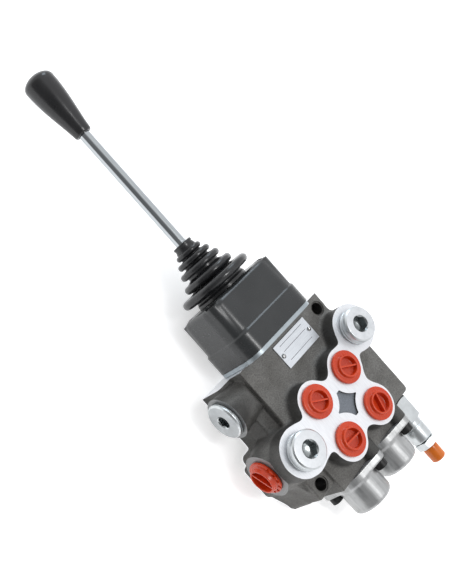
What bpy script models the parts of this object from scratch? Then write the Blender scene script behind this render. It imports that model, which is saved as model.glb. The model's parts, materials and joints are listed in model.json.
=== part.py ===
"""Two-spool monoblock hydraulic control valve worked by one joystick.

The valve lies on its mounting face. +Z leaves the mounting face towards the work ports, +Y runs along the
spools towards the lever, and the origin is on the mounting face under the middle of the four work ports.
Lengths below are millimetres; every mesh and place is turned into metres where it is made.
"""

import math

import bmesh
import bpy
from mathutils import Matrix, Vector

MM = 0.001
GAP = 0.3
ROUND = 20
SMALL_ROUND = 12

# Casting
SPOOL_PITCH = 35.0
SPOOL_X = SPOOL_PITCH / 2
SPOOL_Z = 25.0
PORT_Y = 16.0
PORT_FACE_Z = 50.0
TOP_Z = 37.0
LEVER_END_Y = 62.0
CAP_END_Y = -38.0
PORT_BOSS_R = 14.0
RECESS_SIDE_R = 17.2
RECESS_DEPTH = 1.5
TANK_TOP = (45.1, 29.2)
INLET_TOP = (-49.5, 2.8)
TANK_SIDE_Y = 46.0
TANK_SIDE_X = -59.5
INLET_SIDE_Y = 3.3
INLET_SIDE_X = -65.8
SIDE_BOSS_R = 15.7
MOUNT_HOLES = ((43.9, 53.4), (-46.5, -23.7))
MOUNT_HOLE_R = 4.3
RELIEF_X = 46.2
RELIEF_END_Y = -32.0
DRILL_R = 2.75
INLET_BORE_XS = (-66.8, -50.0, -46.5, -27.0, 48.2)

# Label
LABEL_LOW = (-6.8, 39.8)
LABEL_HIGH = (27.8, 57.4)
LABEL_THICK = 0.5
LABEL_MID_Y = (LABEL_LOW[1] + LABEL_HIGH[1]) / 2
RIVET_XS = (LABEL_LOW[0] + 2.3, LABEL_HIGH[0] - 2.3)
RIVET_HOLE_R = 1.2

# Spools and their spring ends
BORE_R = 8.0
SPOOL_R = 7.9
SPOOL_TOP_Y = 72.0
SPOOL_LAND_END_Y = -31.5
SPOOL_TAIL_END_Y = -46.7
CAP_R = 15.0
CAP_BORE_R = 11.5
CAP_FLOOR_Y = -60.0
CAP_TIP_Y = -62.5
CAP_FLANGE = 5.0
CAP_SCREW_OFFSET = 13.3
SEAL_YS = (57.0, -34.0)
SEAL_WIRE_R = 0.75
SEAL_R = 8.95

# Joystick box and mechanism
PLATE_TOP_Y = 65.0
BOX_X = 34.0
BOX_LOW_Z = 4.2
BOX_HIGH_Z = 54.0
BOX_LEDGE_Y = 80.0
BOX_TOP_Y = 106.0
BOX_STEP = 1.5
BOX_WALL = 2.5
BOX_CORNER_R = 11.0
BOX_SCREWS = ((-26.0, 13.0), (26.0, 13.0), (-26.0, 45.5), (26.0, 45.5))
PLATE_SCREW_ZS = (14.0, 28.0)
OPENING_R = 15.5
LEVER_Z = 29.0
LEVER_R = 4.0
LEVER_TOP_Y = 262.0
KNOB_Y = 241.4
KNOB_TOP_Y = 290.5
PIVOT = Vector((0.0, 84.0, 39.5))
PIN_R = 1.3
EAR_IN = 3.2
EAR_OUT = 5.2
EAR_HALF = 2.3
BALL_R = 4.0
ARM_R = 1.8
CLEVIS_R = 7.5
CLEVIS_SLOT = 4.4
BRIDGE_LOW = 5.2
BRIDGE_HIGH = 8.7

# Gaiter: (y, radius) of each crest and of each valley, from the lever down
FOLDS = ((142.5, 9.5), (137.0, 12.5), (131.0, 15.4), (123.8, 19.0), (115.8, 24.6))
VALLEYS = ((144.8, 6.4), (139.8, 7.2), (134.0, 9.2), (127.4, 11.6), (119.8, 14.4), (111.0, 18.4))
GAITER_TOP_Y = 147.0
GAITER_SKIN = 1.3

SIDES = (("left", -SPOOL_X), ("right", SPOOL_X))

UP = Vector((0.0, 0.0, 1.0))
ALONG_Y = Vector((0.0, 1.0, 0.0))
IDENTITY = Matrix.Identity(4)

for old in list(bpy.data.objects):
    bpy.data.objects.remove(old, do_unlink=True)

PARTS = bpy.data.collections.new("monoblock_valve")
HELPERS = bpy.data.collections.new("cutters")
bpy.context.scene.collection.children.link(PARTS)
bpy.context.scene.collection.children.link(HELPERS)


def material(name, colour, roughness, metallic):
    made = bpy.data.materials.new(name)
    made.use_nodes = True
    shader = made.node_tree.nodes["Principled BSDF"]
    shader.inputs["Base Color"].default_value = (*colour, 1.0)
    shader.inputs["Roughness"].default_value = roughness
    shader.inputs["Metallic"].default_value = metallic
    made.diffuse_color = (*colour, 1.0)
    return made


CAST = material("phosphated_casting", (0.16, 0.155, 0.145), 0.55, 0.6)
ALUMINIUM = material("die_cast_aluminium", (0.55, 0.56, 0.55), 0.42, 1.0)
ZINC = material("zinc_plated_steel", (0.72, 0.74, 0.75), 0.25, 1.0)
STEEL = material("ground_steel", (0.60, 0.60, 0.60), 0.2, 1.0)
BLACK_STEEL = material("black_oxide_steel", (0.03, 0.03, 0.03), 0.4, 0.8)
ORANGE = material("orange_plastic", (0.75, 0.09, 0.04), 0.35, 0.0)
BLACK_PLASTIC = material("black_plastic", (0.025, 0.027, 0.028), 0.3, 0.0)
RUBBER = material("black_rubber", (0.015, 0.015, 0.016), 0.45, 0.0)
BRASS = material("brass_seat", (0.6, 0.42, 0.16), 0.3, 1.0)


def toward(axis):
    """The turn that takes +Z to axis."""
    return UP.rotation_difference(Vector(axis)).to_matrix().to_4x4()


def at(point):
    return Matrix.Translation(Vector(point))


def helper(name, data, matrix):
    """A cutter or a piece to be joined: linked among the helpers, drawn as wire and never rendered."""
    obj = bpy.data.objects.new(name, data)
    obj.matrix_world = Matrix.Translation(matrix.translation * MM) @ matrix.to_3x3().to_4x4()
    HELPERS.objects.link(obj)
    obj.hide_render = True
    obj.display_type = "WIRE"
    return obj


def mesh_helper(name, shape, matrix):
    bmesh.ops.scale(shape, vec=(MM, MM, MM), verts=shape.verts)
    mesh = bpy.data.meshes.new(name)
    shape.to_mesh(mesh)
    shape.free()
    return helper(name, mesh, matrix)


def block(name, low, high, frame=IDENTITY, round_along=None, radius=0.0, segments=4):
    """A box between two corners, its four edges along one axis rounded if round_along names that axis."""
    low, high = Vector(low), Vector(high)
    shape = bmesh.new()
    bmesh.ops.create_cube(shape, size=1.0)
    bmesh.ops.scale(shape, vec=high - low, verts=shape.verts)
    if round_along is not None:
        edges = [e for e in shape.edges if abs((e.verts[0].co - e.verts[1].co)[round_along]) > 1e-6]
        bmesh.ops.bevel(shape, geom=edges, offset=radius, segments=segments, affect="EDGES", profile=0.5)
    return mesh_helper(name, shape, frame @ at((low + high) / 2))


def rod(name, start, end, radius, frame=IDENTITY, sides=ROUND, end_radius=None, turn=0.0):
    """A cylinder, cone or prism from start to end."""
    start, end = Vector(start), Vector(end)
    length = (end - start).length
    shape = bmesh.new()
    bmesh.ops.create_cone(
        shape,
        cap_ends=True,
        segments=sides,
        radius1=radius,
        radius2=radius if end_radius is None else end_radius,
        depth=length,
        matrix=at((0, 0, length / 2)),
    )
    placed = frame @ at(start) @ toward(end - start) @ Matrix.Rotation(turn, 4, "Z")
    return mesh_helper(name, shape, placed)


def hexagon(name, start, end, across_flats, turn=0.0):
    return rod(name, start, end, across_flats / math.sqrt(3), sides=6, turn=turn)


def ball(name, centre, radius, frame=IDENTITY):
    shape = bmesh.new()
    bmesh.ops.create_uvsphere(shape, u_segments=12, v_segments=8, radius=radius)
    return mesh_helper(name, shape, frame @ at(centre))


def turned(name, profile, base, axis, steps=ROUND, ring=False):
    """A lathe shape from (radius, height) points down its outer side. A ring's profile closes on itself."""
    shape = bmesh.new()
    points = [shape.verts.new((radius, 0.0, height)) for radius, height in profile]
    for first, second in zip(points, points[1:]):
        shape.edges.new((first, second))
    if ring:
        shape.edges.new((points[-1], points[0]))
    obj = mesh_helper(name, shape, at(base) @ toward(axis))
    screw = obj.modifiers.new("turn", "SCREW")
    screw.axis = "Z"
    screw.steps = steps
    screw.render_steps = steps
    screw.use_merge_vertices = True
    screw.merge_threshold = 0.00001
    return obj


def hull_plate(name, circles, y_low, y_high):
    """A plate across Y whose outline wraps round the circles, each (x, z, radius)."""
    shape = bmesh.new()
    for y in (y_low, y_high):
        for x, z, radius in circles:
            place = at((x, y, z)) @ toward(ALONG_Y)
            bmesh.ops.create_circle(shape, segments=ROUND, radius=radius, matrix=place)
    made = bmesh.ops.convex_hull(shape, input=shape.verts)
    spare = [v for v in made["geom_interior"] if isinstance(v, bmesh.types.BMVert)]
    bmesh.ops.delete(shape, geom=spare, context="VERTS")
    bmesh.ops.dissolve_limit(shape, angle_limit=0.001, verts=shape.verts, edges=shape.edges)
    return mesh_helper(name, shape, IDENTITY)


def wire(name, points, radius, frame=IDENTITY, resolution=1):
    """A round wire through the points, as a mesh with its caps welded."""
    curve = bpy.data.curves.new(name, "CURVE")
    curve.dimensions = "3D"
    curve.bevel_depth = radius * MM
    curve.bevel_resolution = resolution
    curve.use_fill_caps = True
    spline = curve.splines.new("POLY")
    spline.points.add(len(points) - 1)
    for spot, point in zip(spline.points, points):
        spot.co = (*(Vector(point) * MM), 1.0)
    obj = helper(name, curve, frame)
    mesh = bpy.data.meshes.new_from_object(obj.evaluated_get(bpy.context.evaluated_depsgraph_get()))
    shape = bmesh.new()
    shape.from_mesh(mesh)
    bmesh.ops.remove_doubles(shape, verts=shape.verts, dist=0.00001)
    bmesh.ops.recalc_face_normals(shape, faces=shape.faces)
    shape.to_mesh(mesh)
    shape.free()
    bpy.data.objects.remove(obj)
    return helper(name, mesh, frame)


def coil(name, base, axis, mean_radius, wire_radius, length, turns, per_turn=12):
    """A helical spring from base along axis, its wire centre running from end to end."""
    count = int(turns * per_turn)
    points = []
    for i in range(count + 1):
        angle = 2 * math.pi * i / per_turn
        height = wire_radius + (length - 2 * wire_radius) * i / count
        points.append((mean_radius * math.cos(angle), mean_radius * math.sin(angle), height))
    return wire(name, points, wire_radius, at(base) @ toward(axis))


def combine(target, operation, pieces):
    for piece in pieces:
        modifier = target.modifiers.new(piece.name, "BOOLEAN")
        modifier.operation = operation
        modifier.object = piece
        modifier.solver = "EXACT"
    return target


def join(target, *pieces):
    return combine(target, "UNION", pieces)


def cut(target, *pieces):
    return combine(target, "DIFFERENCE", pieces)


def part(obj, name, finish, joint=None):
    """Makes a helper into one of the valve's own parts, carried by its joint's empty if it moves."""
    HELPERS.objects.unlink(obj)
    PARTS.objects.link(obj)
    obj.name = name
    obj.hide_render = False
    obj.display_type = "TEXTURED"
    obj.data.materials.clear()
    obj.data.materials.append(finish)
    obj.data.shade_smooth()
    if joint is not None:
        obj.parent = joint
        obj.matrix_parent_inverse = joint.matrix_world.inverted()
    return obj


def joint_empty(name, point, parent=None):
    """An empty on a joint's axis, which carries the pieces that move with the joint."""
    empty = bpy.data.objects.new(name, None)
    empty.matrix_world = at(Vector(point) * MM)
    PARTS.objects.link(empty)
    if parent is not None:
        empty.parent = parent
        empty.matrix_parent_inverse = parent.matrix_world.inverted()
    bpy.context.view_layer.update()
    return empty


def along_y(x, z, y):
    return Vector((x, y, z))


def cap_screw_places(x):
    return (
        ("upper", x + CAP_SCREW_OFFSET, SPOOL_Z + CAP_SCREW_OFFSET),
        ("lower", x - CAP_SCREW_OFFSET, SPOOL_Z - CAP_SCREW_OFFSET),
    )


# ---------------------------------------------------------------- casting


def casting_solids():
    """The pieces that are joined to the main block, outside in."""
    lug_y = CAP_END_Y + 14
    yield block("right_block", (30, RELIEF_END_Y, 0), (58, 12, TOP_Z - 0.5))
    yield block("upper_right_block", (30, 8, 0), (52, LEVER_END_Y, TOP_Z - 1))
    yield block("left_pad", (-48, 17, 0), (-30, 40, 31))
    yield block("lower_left_block", (-52, -31, 0), (-30, 2, 32))
    yield block("lower_left_ear", (-54.5, -30.5, 0), (-38.6, -15.3, 36))
    yield block("foot", (-62, -14, 0), (-30, 11, 11))
    yield block("inlet_riser", (-58, -12, 0), (-30, 17, 34))
    yield block("tank_riser", (-56, 34, 0), (-30, LEVER_END_Y, 24))
    for name, x, y in (("inlet", INLET_SIDE_X, INLET_SIDE_Y), ("tank", TANK_SIDE_X, TANK_SIDE_Y)):
        yield rod(f"{name}_side_boss", (x, y, SPOOL_Z), (-30, y, SPOOL_Z), SIDE_BOSS_R)
    yield rod("tank_top_boss", (*TANK_TOP, 1), (*TANK_TOP, PORT_FACE_Z), 15.7)
    yield rod("inlet_top_boss", (*INLET_TOP, 20), (*INLET_TOP, PORT_FACE_Z), 16.5)
    yield block("inlet_neck", (INLET_TOP[0], -12.6, 30), (-SPOOL_X, 16.6, PORT_FACE_Z))
    yield block("port_web", (-25.9, -21.2, 30), (25.9, 21.2, PORT_FACE_Z))
    for x in (-SPOOL_X, SPOOL_X):
        for y in (-PORT_Y, PORT_Y):
            yield rod(f"port_boss_{x}_{y}", (x, y, 30), (x, y, PORT_FACE_Z), PORT_BOSS_R)
    neck = Vector((*TANK_TOP, 0)) - Vector((SPOOL_X, PORT_Y, 0))
    neck_frame = at((SPOOL_X, PORT_Y, 0)) @ Matrix.Rotation(math.atan2(neck.y, neck.x), 4, "Z")
    yield block("tank_neck", (0, -8.4, 30), (neck.length, 8.4, PORT_FACE_Z), neck_frame)
    for side, x in SIDES:
        for level, screw_x, screw_z in cap_screw_places(x):
            if level == "upper":
                start = along_y(screw_x, screw_z, CAP_END_Y)
                yield rod(f"lug_{side}", start, along_y(screw_x, screw_z, lug_y), 6.2)


def port_drilling(name, mouth, inward, thread_r, depth, gallery_r, reach):
    """A threaded mouth and the narrower gallery behind it."""
    mouth, inward = Vector(mouth), Vector(inward)
    outside = mouth - inward
    bottom = mouth + inward * depth
    return (
        rod(name, outside, bottom, thread_r),
        rod(name + "_gallery", bottom - inward, mouth + inward * reach, gallery_r, sides=SMALL_ROUND),
    )


def casting_cuts():
    """Bores, ports, galleries and holes, in the order that they are drilled."""
    down = (0, 0, -1)
    inward = (1, 0, 0)
    for side, x in SIDES:
        yield rod(
            f"spool_bore_{side}",
            along_y(x, SPOOL_Z, CAP_END_Y - 1),
            along_y(x, SPOOL_Z, LEVER_END_Y + 1),
            BORE_R,
        )
        for y in SEAL_YS:
            start = along_y(x, SPOOL_Z, y - 1.1)
            yield rod(f"seal_groove_{side}_{y}", start, along_y(x, SPOOL_Z, y + 1.1), SEAL_R + 1.0)
        for y in (-PORT_Y, PORT_Y):
            yield from port_drilling(f"work_port_{side}_{y}", (x, y, PORT_FACE_Z), down, 8.4, 14, 5.5, 19)
        for level, screw_x, screw_z in cap_screw_places(x):
            start = along_y(screw_x, screw_z, CAP_END_Y - 1)
            end = along_y(screw_x, screw_z, CAP_END_Y + 11)
            yield rod(f"cap_hole_{side}_{level}", start, end, DRILL_R, sides=SMALL_ROUND)
    yield from port_drilling("tank_top", (*TANK_TOP, PORT_FACE_Z), down, 9.5, 14, 6, 24)
    yield from port_drilling("inlet_top", (*INLET_TOP, PORT_FACE_Z), down, 9.5, 12, 6, 22)
    tank_mouth = (TANK_SIDE_X, TANK_SIDE_Y, SPOOL_Z)
    yield from port_drilling("tank_side", tank_mouth, inward, 9.5, 14, 5.5, RELIEF_X - TANK_SIDE_X)
    link_start = Vector((*TANK_TOP, SPOOL_Z - 1))
    link_end = Vector((TANK_TOP[0], TANK_SIDE_Y + 1, SPOOL_Z))
    yield rod("tank_link", link_start, link_end, 5, sides=SMALL_ROUND)
    # The inlet runs from its mouth through the load check's seat and chamber to both spools and the relief.
    outside, seat, chamber, gallery, far_end = [
        Vector((x, INLET_SIDE_Y, SPOOL_Z)) for x in INLET_BORE_XS
    ]
    overlap = Vector((1, 0, 0))
    yield rod("inlet_mouth", outside, seat, 8.4)
    yield rod("check_seat_hole", seat - overlap, chamber + overlap, 3.6)
    yield rod("check_chamber", chamber, gallery, 6.3)
    yield rod("inlet_gallery", gallery - overlap, far_end, 4.5, sides=SMALL_ROUND)
    yield rod(
        "relief_bore",
        along_y(RELIEF_X, SPOOL_Z, RELIEF_END_Y - 1),
        along_y(RELIEF_X, SPOOL_Z, -5.7),
        BORE_R,
    )
    nose_end = along_y(RELIEF_X, SPOOL_Z, INLET_SIDE_Y + 2)
    yield rod("relief_nose", along_y(RELIEF_X, SPOOL_Z, -7), nose_end, 4.8, sides=SMALL_ROUND)
    for x, y in MOUNT_HOLES:
        yield rod(f"mount_hole_{x}", (x, y, -1), (x, y, PORT_FACE_Z), MOUNT_HOLE_R)
    for x, z in BOX_SCREWS[:2]:
        start = along_y(x, z, LEVER_END_Y + 1)
        yield rod(f"box_screw_hole_{x}", start, along_y(x, z, 53), DRILL_R, sides=SMALL_ROUND)
    for z in PLATE_SCREW_ZS:
        start = along_y(0, z, LEVER_END_Y + 1)
        yield rod(f"plate_screw_hole_{z}", start, along_y(0, z, 54), DRILL_R, sides=SMALL_ROUND)
    for x in RIVET_XS:
        top = Vector((x, LABEL_MID_Y, TOP_Z + 1))
        yield rod(f"rivet_hole_{x}", top, top - UP * 4.4, RIVET_HOLE_R, sides=SMALL_ROUND)
    # The unmachined hollow between the four port rings.
    yield diamond_recess()


def diamond_recess():
    """A shallow four-cusped hollow, its hollow sides concentric with the four ports."""
    low, high = PORT_FACE_Z - RECESS_DEPTH, PORT_FACE_Z + 1
    hollow = block("diamond_recess", (-10.4, -9.6, low), (10.4, 9.6, high))
    for x in (-SPOOL_X, SPOOL_X):
        for y in (-PORT_Y, PORT_Y):
            cut(hollow, rod(f"ring_{x}_{y}", (x, y, low - 1), (x, y, high + 1), RECESS_SIDE_R))
    return hollow


# ---------------------------------------------------------------- label


def make_label():
    low = (*LABEL_LOW, TOP_Z + GAP)
    plate = block("label", low, (*LABEL_HIGH, TOP_Z + GAP + LABEL_THICK))
    for name, x in zip(("left", "right"), RIVET_XS):
        centre = Vector((x, LABEL_MID_Y, TOP_Z))
        cut(plate, rod(f"label_hole_{name}", centre, centre + UP * 2, RIVET_HOLE_R, sides=SMALL_ROUND))
        head = centre + UP * (2 * GAP + LABEL_THICK)
        profile = ((0, 0.8), (0.9, 0.65), (1.6, 0.0), (0.95, 0.0), (0.95, -3.2), (0, -3.2))
        rivet = turned(f"rivet_{name}", profile, head, UP, steps=SMALL_ROUND)
        part(rivet, f"label_rivet_{name}", ALUMINIUM)
    part(plate, "label_plate", ALUMINIUM)


# ---------------------------------------------------------------- plugs


def plastic_plug(name, mouth, outward, flange_r, cup_r, cup_height, rib_angle):
    """A push-in transport plug: flange, open cup and a rib across the cup."""
    stem_r = 8.0
    inner = cup_r - 1.3
    profile = (
        (0, -4.0),
        (inner, -4.0),
        (inner, cup_height),
        (cup_r, cup_height),
        (cup_r, 2.0),
        (flange_r - 0.5, 2.0),
        (flange_r, 1.5),
        (flange_r, 0.0),
        (stem_r, 0.0),
        (stem_r - 0.5, -8.0),
        (0, -8.0),
    )
    base = Vector(mouth) + Vector(outward) * GAP
    plug = turned(name + "_body", profile, base, outward)
    frame = at(base) @ toward(outward) @ Matrix.Rotation(rib_angle, 4, "Z")
    rib_end = inner + 0.6
    rib = block(name + "_rib", (-rib_end, -0.6, -5.0), (rib_end, 0.6, cup_height - 0.4), frame)
    return part(join(plug, rib), name, ORANGE)


def metal_plug(name, mouth, outward, collar_r, height, socket_flats, turn):
    """A zinc-plated socket plug: threaded shank, round collar and a hexagon socket with a conical floor."""
    stem_r = 9.2
    profile = (
        (0, height),
        (collar_r - 0.8, height),
        (collar_r, height - 0.8),
        (collar_r, GAP),
        (stem_r, GAP),
        (stem_r, -9.0),
        (stem_r - 1, -10.0),
        (0, -10.0),
    )
    mouth, outward = Vector(mouth), Vector(outward)
    plug = turned(name + "_body", profile, mouth, outward)
    floor = mouth + outward * (height - 7)
    tip = mouth + outward * (height - 9.5)
    lip = mouth + outward * (height - 1.0)
    socket_r = socket_flats / math.sqrt(3)
    top = mouth + outward * (height + 1)
    cut(
        plug,
        hexagon(name + "_socket", floor, top, socket_flats, turn),
        rod(name + "_tip", tip, floor + outward * 0.5, 0.4, end_radius=socket_flats / 2 - 0.2),
        rod(name + "_lip", lip, top, socket_r - 0.4, end_radius=socket_r + 0.8),
    )
    part(plug, name, ZINC)


def make_plugs():
    ribs = {
        ("left", PORT_Y): ("port_plug_a1", -0.55),
        ("left", -PORT_Y): ("port_plug_b1", -0.09),
        ("right", PORT_Y): ("port_plug_a2", -0.54),
        ("right", -PORT_Y): ("port_plug_b2", 1.27),
    }
    for side, x in SIDES:
        for y in (PORT_Y, -PORT_Y):
            name, angle = ribs[side, y]
            plastic_plug(name, (x, y, PORT_FACE_Z), UP, 11.3, 7.6, 4.2, angle)
    plastic_plug("inlet_plug_side", (INLET_SIDE_X, INLET_SIDE_Y, SPOOL_Z), (-1, 0, 0), 11.9, 8.9, 5.2, 0.35)
    metal_plug("tank_plug_top", (*TANK_TOP, PORT_FACE_Z), UP, 12.3, 8.4, 10.0, 0.2)
    metal_plug("inlet_plug_top", (*INLET_TOP, PORT_FACE_Z), UP, 12.5, 8.9, 10.0, 0.9)
    metal_plug("tank_plug_side", (TANK_SIDE_X, TANK_SIDE_Y, SPOOL_Z), (-1, 0, 0), 12.9, 3.8, 8.0, 0.3)


# ---------------------------------------------------------------- spools and spring ends


def socket_screw(name, head_base, axis, thread_r, length, head_r, head_height, joint=None):
    """A hexagon socket screw: its head's underside is at head_base and its shank runs against axis."""
    profile = (
        (0, head_height),
        (head_r - 0.4, head_height),
        (head_r, head_height - 0.4),
        (head_r, 0),
        (thread_r, 0),
        (thread_r, -length),
        (0, -length),
    )
    screw = turned(name + "_body", profile, head_base, axis, steps=SMALL_ROUND)
    base, axis = Vector(head_base), Vector(axis)
    floor = base + axis * (head_height * 0.45)
    cut(screw, hexagon(name + "_socket", floor, base + axis * (head_height + 1), head_r * 0.95))
    return part(screw, name, BLACK_STEEL, joint)


def spool_profile():
    """Lands and grooves in height above the casting's lever end, from the clevis stud down to the tail."""
    neck_r = 5.6
    top = SPOOL_TOP_Y
    profile = [(0, top + 6), (3.0, top + 6), (3.0, top), (SPOOL_R - 0.5, top), (SPOOL_R, top - 0.5)]
    for high, low in ((40.0, 33.0), (24.0, 19.5), (9.5, -3.0), (-9.0, -14.0), (-22.5, -27.0)):
        profile += [(SPOOL_R, high), (neck_r, high), (neck_r, low), (SPOOL_R, low)]
    profile += [(SPOOL_R, SPOOL_LAND_END_Y + 0.5), (SPOOL_R - 0.5, SPOOL_LAND_END_Y)]
    profile += [(5.0, SPOOL_LAND_END_Y), (5.0, SPOOL_TAIL_END_Y), (2.9, SPOOL_TAIL_END_Y)]
    profile += [(2.9, SPOOL_TAIL_END_Y + 12), (0, SPOOL_TAIL_END_Y + 14)]
    return profile


def make_clevis(side, centre, direction, joint):
    """An open-sided fork on the spool's end. Its slot faces the pivot, and takes the rocker's ball."""
    top = centre.y + CLEVIS_SLOT + 3.0
    base = along_y(centre.x, centre.z, SPOOL_TOP_Y + GAP)
    clevis = rod(f"clevis_body_{side}", base, along_y(centre.x, centre.z, top), CLEVIS_R)
    frame = at(centre) @ frame_of(direction)
    slot = block(f"clevis_slot_{side}", (-12, -12, -CLEVIS_SLOT), (4.8, 12, CLEVIS_SLOT), frame)
    stud_hole = rod(f"clevis_thread_{side}", base - ALONG_Y, base + ALONG_Y * 7, 3.2)
    part(cut(clevis, slot, stud_hole), f"spool_clevis_{side}", ZINC, joint)


def frame_of(direction):
    """Local X along direction, local Z along +Y."""
    x_axis = Vector(direction).normalized()
    y_axis = ALONG_Y.cross(x_axis)
    return Matrix((x_axis, y_axis, ALONG_Y)).transposed().to_4x4()


def make_spool_section(side, x):
    axis = along_y(x, SPOOL_Z, 0)
    joint = joint_empty(f"slide_{side}", axis)
    part(turned(f"spool_body_{side}", spool_profile(), axis, ALONG_Y), f"spool_{side}", STEEL, joint)
    ball_centre = along_y(x, SPOOL_Z, PIVOT.y)
    make_clevis(side, ball_centre, ball_centre - PIVOT, joint)
    inner_ring = ((10.6, 0.0), (10.6, -1.4), (5.4, -1.4), (5.4, 0.0))
    inner = turned(f"inner_cup_{side}", inner_ring, axis + ALONG_Y * (CAP_END_Y - GAP), ALONG_Y, ring=True)
    part(inner, f"spring_cup_inner_{side}", STEEL)
    tail = SPOOL_TAIL_END_Y - GAP
    outer_ring = (
        (6.9, 1.0),
        (6.9, 0.0),
        (10.6, 0.0),
        (10.6, -1.5),
        (3.2, -1.5),
        (3.2, 0.0),
        (5.3, 0.0),
        (5.3, 1.0),
    )
    outer = turned(f"outer_cup_{side}", outer_ring, axis + ALONG_Y * tail, ALONG_Y, ring=True)
    part(outer, f"spring_cup_outer_{side}", STEEL, joint)
    head = axis + ALONG_Y * (tail - 1.5 - GAP)
    socket_screw(f"tail_screw_{side}", head, -ALONG_Y, 2.6, 11.0, 5.0, 3.5, joint)
    spring_top = CAP_END_Y - 2 * GAP - 1.4
    spring_base = axis + ALONG_Y * spring_top
    spring = coil(f"spring_{side}", spring_base, -ALONG_Y, 8.7, 0.9, spring_top - tail - GAP, 3)
    part(spring, f"centring_spring_{side}", STEEL)
    for end, y in zip(("lever", "cap"), SEAL_YS):
        ring = []
        for i in range(6):
            angle = math.pi / 2 - i * math.pi / 3
            ring.append((SEAL_R + SEAL_WIRE_R * math.cos(angle), SEAL_WIRE_R * math.sin(angle)))
        seal = turned(f"seal_{side}_{end}", ring, axis + ALONG_Y * y, ALONG_Y, ring=True)
        part(seal, f"spool_seal_{side}_{end}", RUBBER)
    make_spring_cap(side, x)


def make_spring_cap(side, x):
    """A die-cast cup with a two-lug flange, held by two screws on the diagonal."""
    face = CAP_END_Y - GAP
    places = cap_screw_places(x)
    outline = [(x, SPOOL_Z, CAP_R + 0.5)] + [(sx, sz, 5.8) for _, sx, sz in places]
    cap = hull_plate(f"cap_flange_{side}", outline, face - CAP_FLANGE, face)
    tip = CAP_TIP_Y - face
    profile = (
        (0, -1.0),
        (CAP_R, -1.0),
        (CAP_R, tip + 3.0),
        (CAP_R - 0.5, tip + 1.3),
        (CAP_R - 1.6, tip + 0.4),
        (CAP_R - 3.2, tip),
        (0, tip),
    )
    cup = turned(f"cap_cup_{side}", profile, along_y(x, SPOOL_Z, face), ALONG_Y)
    hollow = rod(
        f"cap_hollow_{side}",
        along_y(x, SPOOL_Z, face + 1),
        along_y(x, SPOOL_Z, CAP_FLOOR_Y),
        CAP_BORE_R,
    )
    join(cap, cup)
    cut(cap, hollow)
    for level, screw_x, screw_z in places:
        start = along_y(screw_x, screw_z, face + 1)
        end = start - ALONG_Y * (CAP_FLANGE + 3)
        cut(cap, rod(f"lug_hole_{side}_{level}", start, end, 2.8, sides=SMALL_ROUND))
        head = along_y(screw_x, screw_z, face - CAP_FLANGE - GAP)
        head_space = along_y(screw_x, screw_z, face - CAP_FLANGE)
        head_end = head_space - ALONG_Y * 6
        cut(cap, rod(f"head_space_{side}_{level}", head_space, head_end, 4.7, sides=SMALL_ROUND))
        socket_screw(f"cap_screw_{side}_{level}", head, -ALONG_Y, 2.5, 15.0, 4.3, 5.0)
    part(cap, f"spring_cap_{side}", ALUMINIUM)


# ---------------------------------------------------------------- relief valve and load check


def make_relief_valve():
    centre = along_y(RELIEF_X, SPOOL_Z, 0)

    def y_point(y):
        return centre + ALONG_Y * y

    face = RELIEF_END_Y - GAP
    body = hexagon("relief_hex", y_point(face), y_point(-50), 19.0)
    join(body, rod("relief_shank", y_point(face - 1), y_point(-12.2), 7.7))
    cut(body, rod("relief_hollow", y_point(-11), y_point(-51), 4.6))
    cone_low = rod("relief_chamfer", y_point(-46.5), y_point(-50.2), 11.6, end_radius=9.2)
    cut(body, ring_outside("relief_trim", cone_low, y_point(-46.5), y_point(-51)))
    part(body, "relief_body", ZINC)

    sleeve_profile = ((8.1, 15.7), (8.1, 0.8), (7.3, 0.0), (4.4, 0.0), (4.4, 15.7))
    part(turned("sleeve", sleeve_profile, y_point(-66), ALONG_Y, ring=True), "relief_sleeve", ZINC)
    nut = hexagon("nut", y_point(-66.3), y_point(-71.7), 14.5, 0.26)
    cut(nut, rod("nut_bore", y_point(-66), y_point(-73), 4.4))
    part(nut, "relief_lock_nut", ZINC)
    cap_profile = ((0, 1.6), (4.4, 1.6), (4.4, 11.7), (5.6, 11.7), (5.6, 1.0), (4.9, 0.0), (0, 0))
    cap = turned("tamper", cap_profile, y_point(-84.2), ALONG_Y)
    part(cap, "relief_tamper_cap", ORANGE)

    screw_profile = ((0, 24.0), (4.0, 24.0), (4.0, 0.4), (3.6, 0.0), (0, 0.0))
    screw = turned("adjuster", screw_profile, y_point(-80), ALONG_Y)
    cut(screw, hexagon("adjuster_socket", y_point(-81), y_point(-77), 4.0))
    seat_slide = joint_empty("slide_spring_seat", y_point(-54))
    adjuster = joint_empty("turn_adjuster", y_point(-60), seat_slide)
    part(screw, "relief_adjusting_screw", STEEL, adjuster)
    seat_profile = ((0, 5.0), (2.0, 5.0), (2.0, 2.0), (4.1, 2.0), (4.1, 0.0), (0, 0.0))
    seat = turned("spring_seat", seat_profile, y_point(-55.4), ALONG_Y)
    part(seat, "relief_spring_seat", STEEL, seat_slide)
    spring = coil("relief_coil", y_point(-53.1), ALONG_Y, 3.1, 0.7, 31.5, 8, 8)
    part(spring, "relief_spring", STEEL)
    poppet_slide = joint_empty("slide_relief_poppet", y_point(-16))
    poppet_profile = ((0, 12.8), (1.4, 11.6), (4.0, 5.0), (4.0, 2.4), (2.0, 2.4), (2.0, 0.0), (0, 0.0))
    poppet = turned("poppet", poppet_profile, y_point(-23.8), ALONG_Y)
    part(poppet, "relief_poppet", STEEL, poppet_slide)
    ring_profile = ((7.7, 5.6), (7.7, 0.0), (3.4, 0.0), (2.3, 1.8), (2.3, 5.6))
    part(turned("seat", ring_profile, y_point(-11.6), ALONG_Y, ring=True), "relief_seat", BRASS)


def ring_outside(name, core, start, end):
    """What lies outside the core between start and end: it trims a hexagon's corners to a cone."""
    return cut(rod(name, start, end, 14.0), core)


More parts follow.
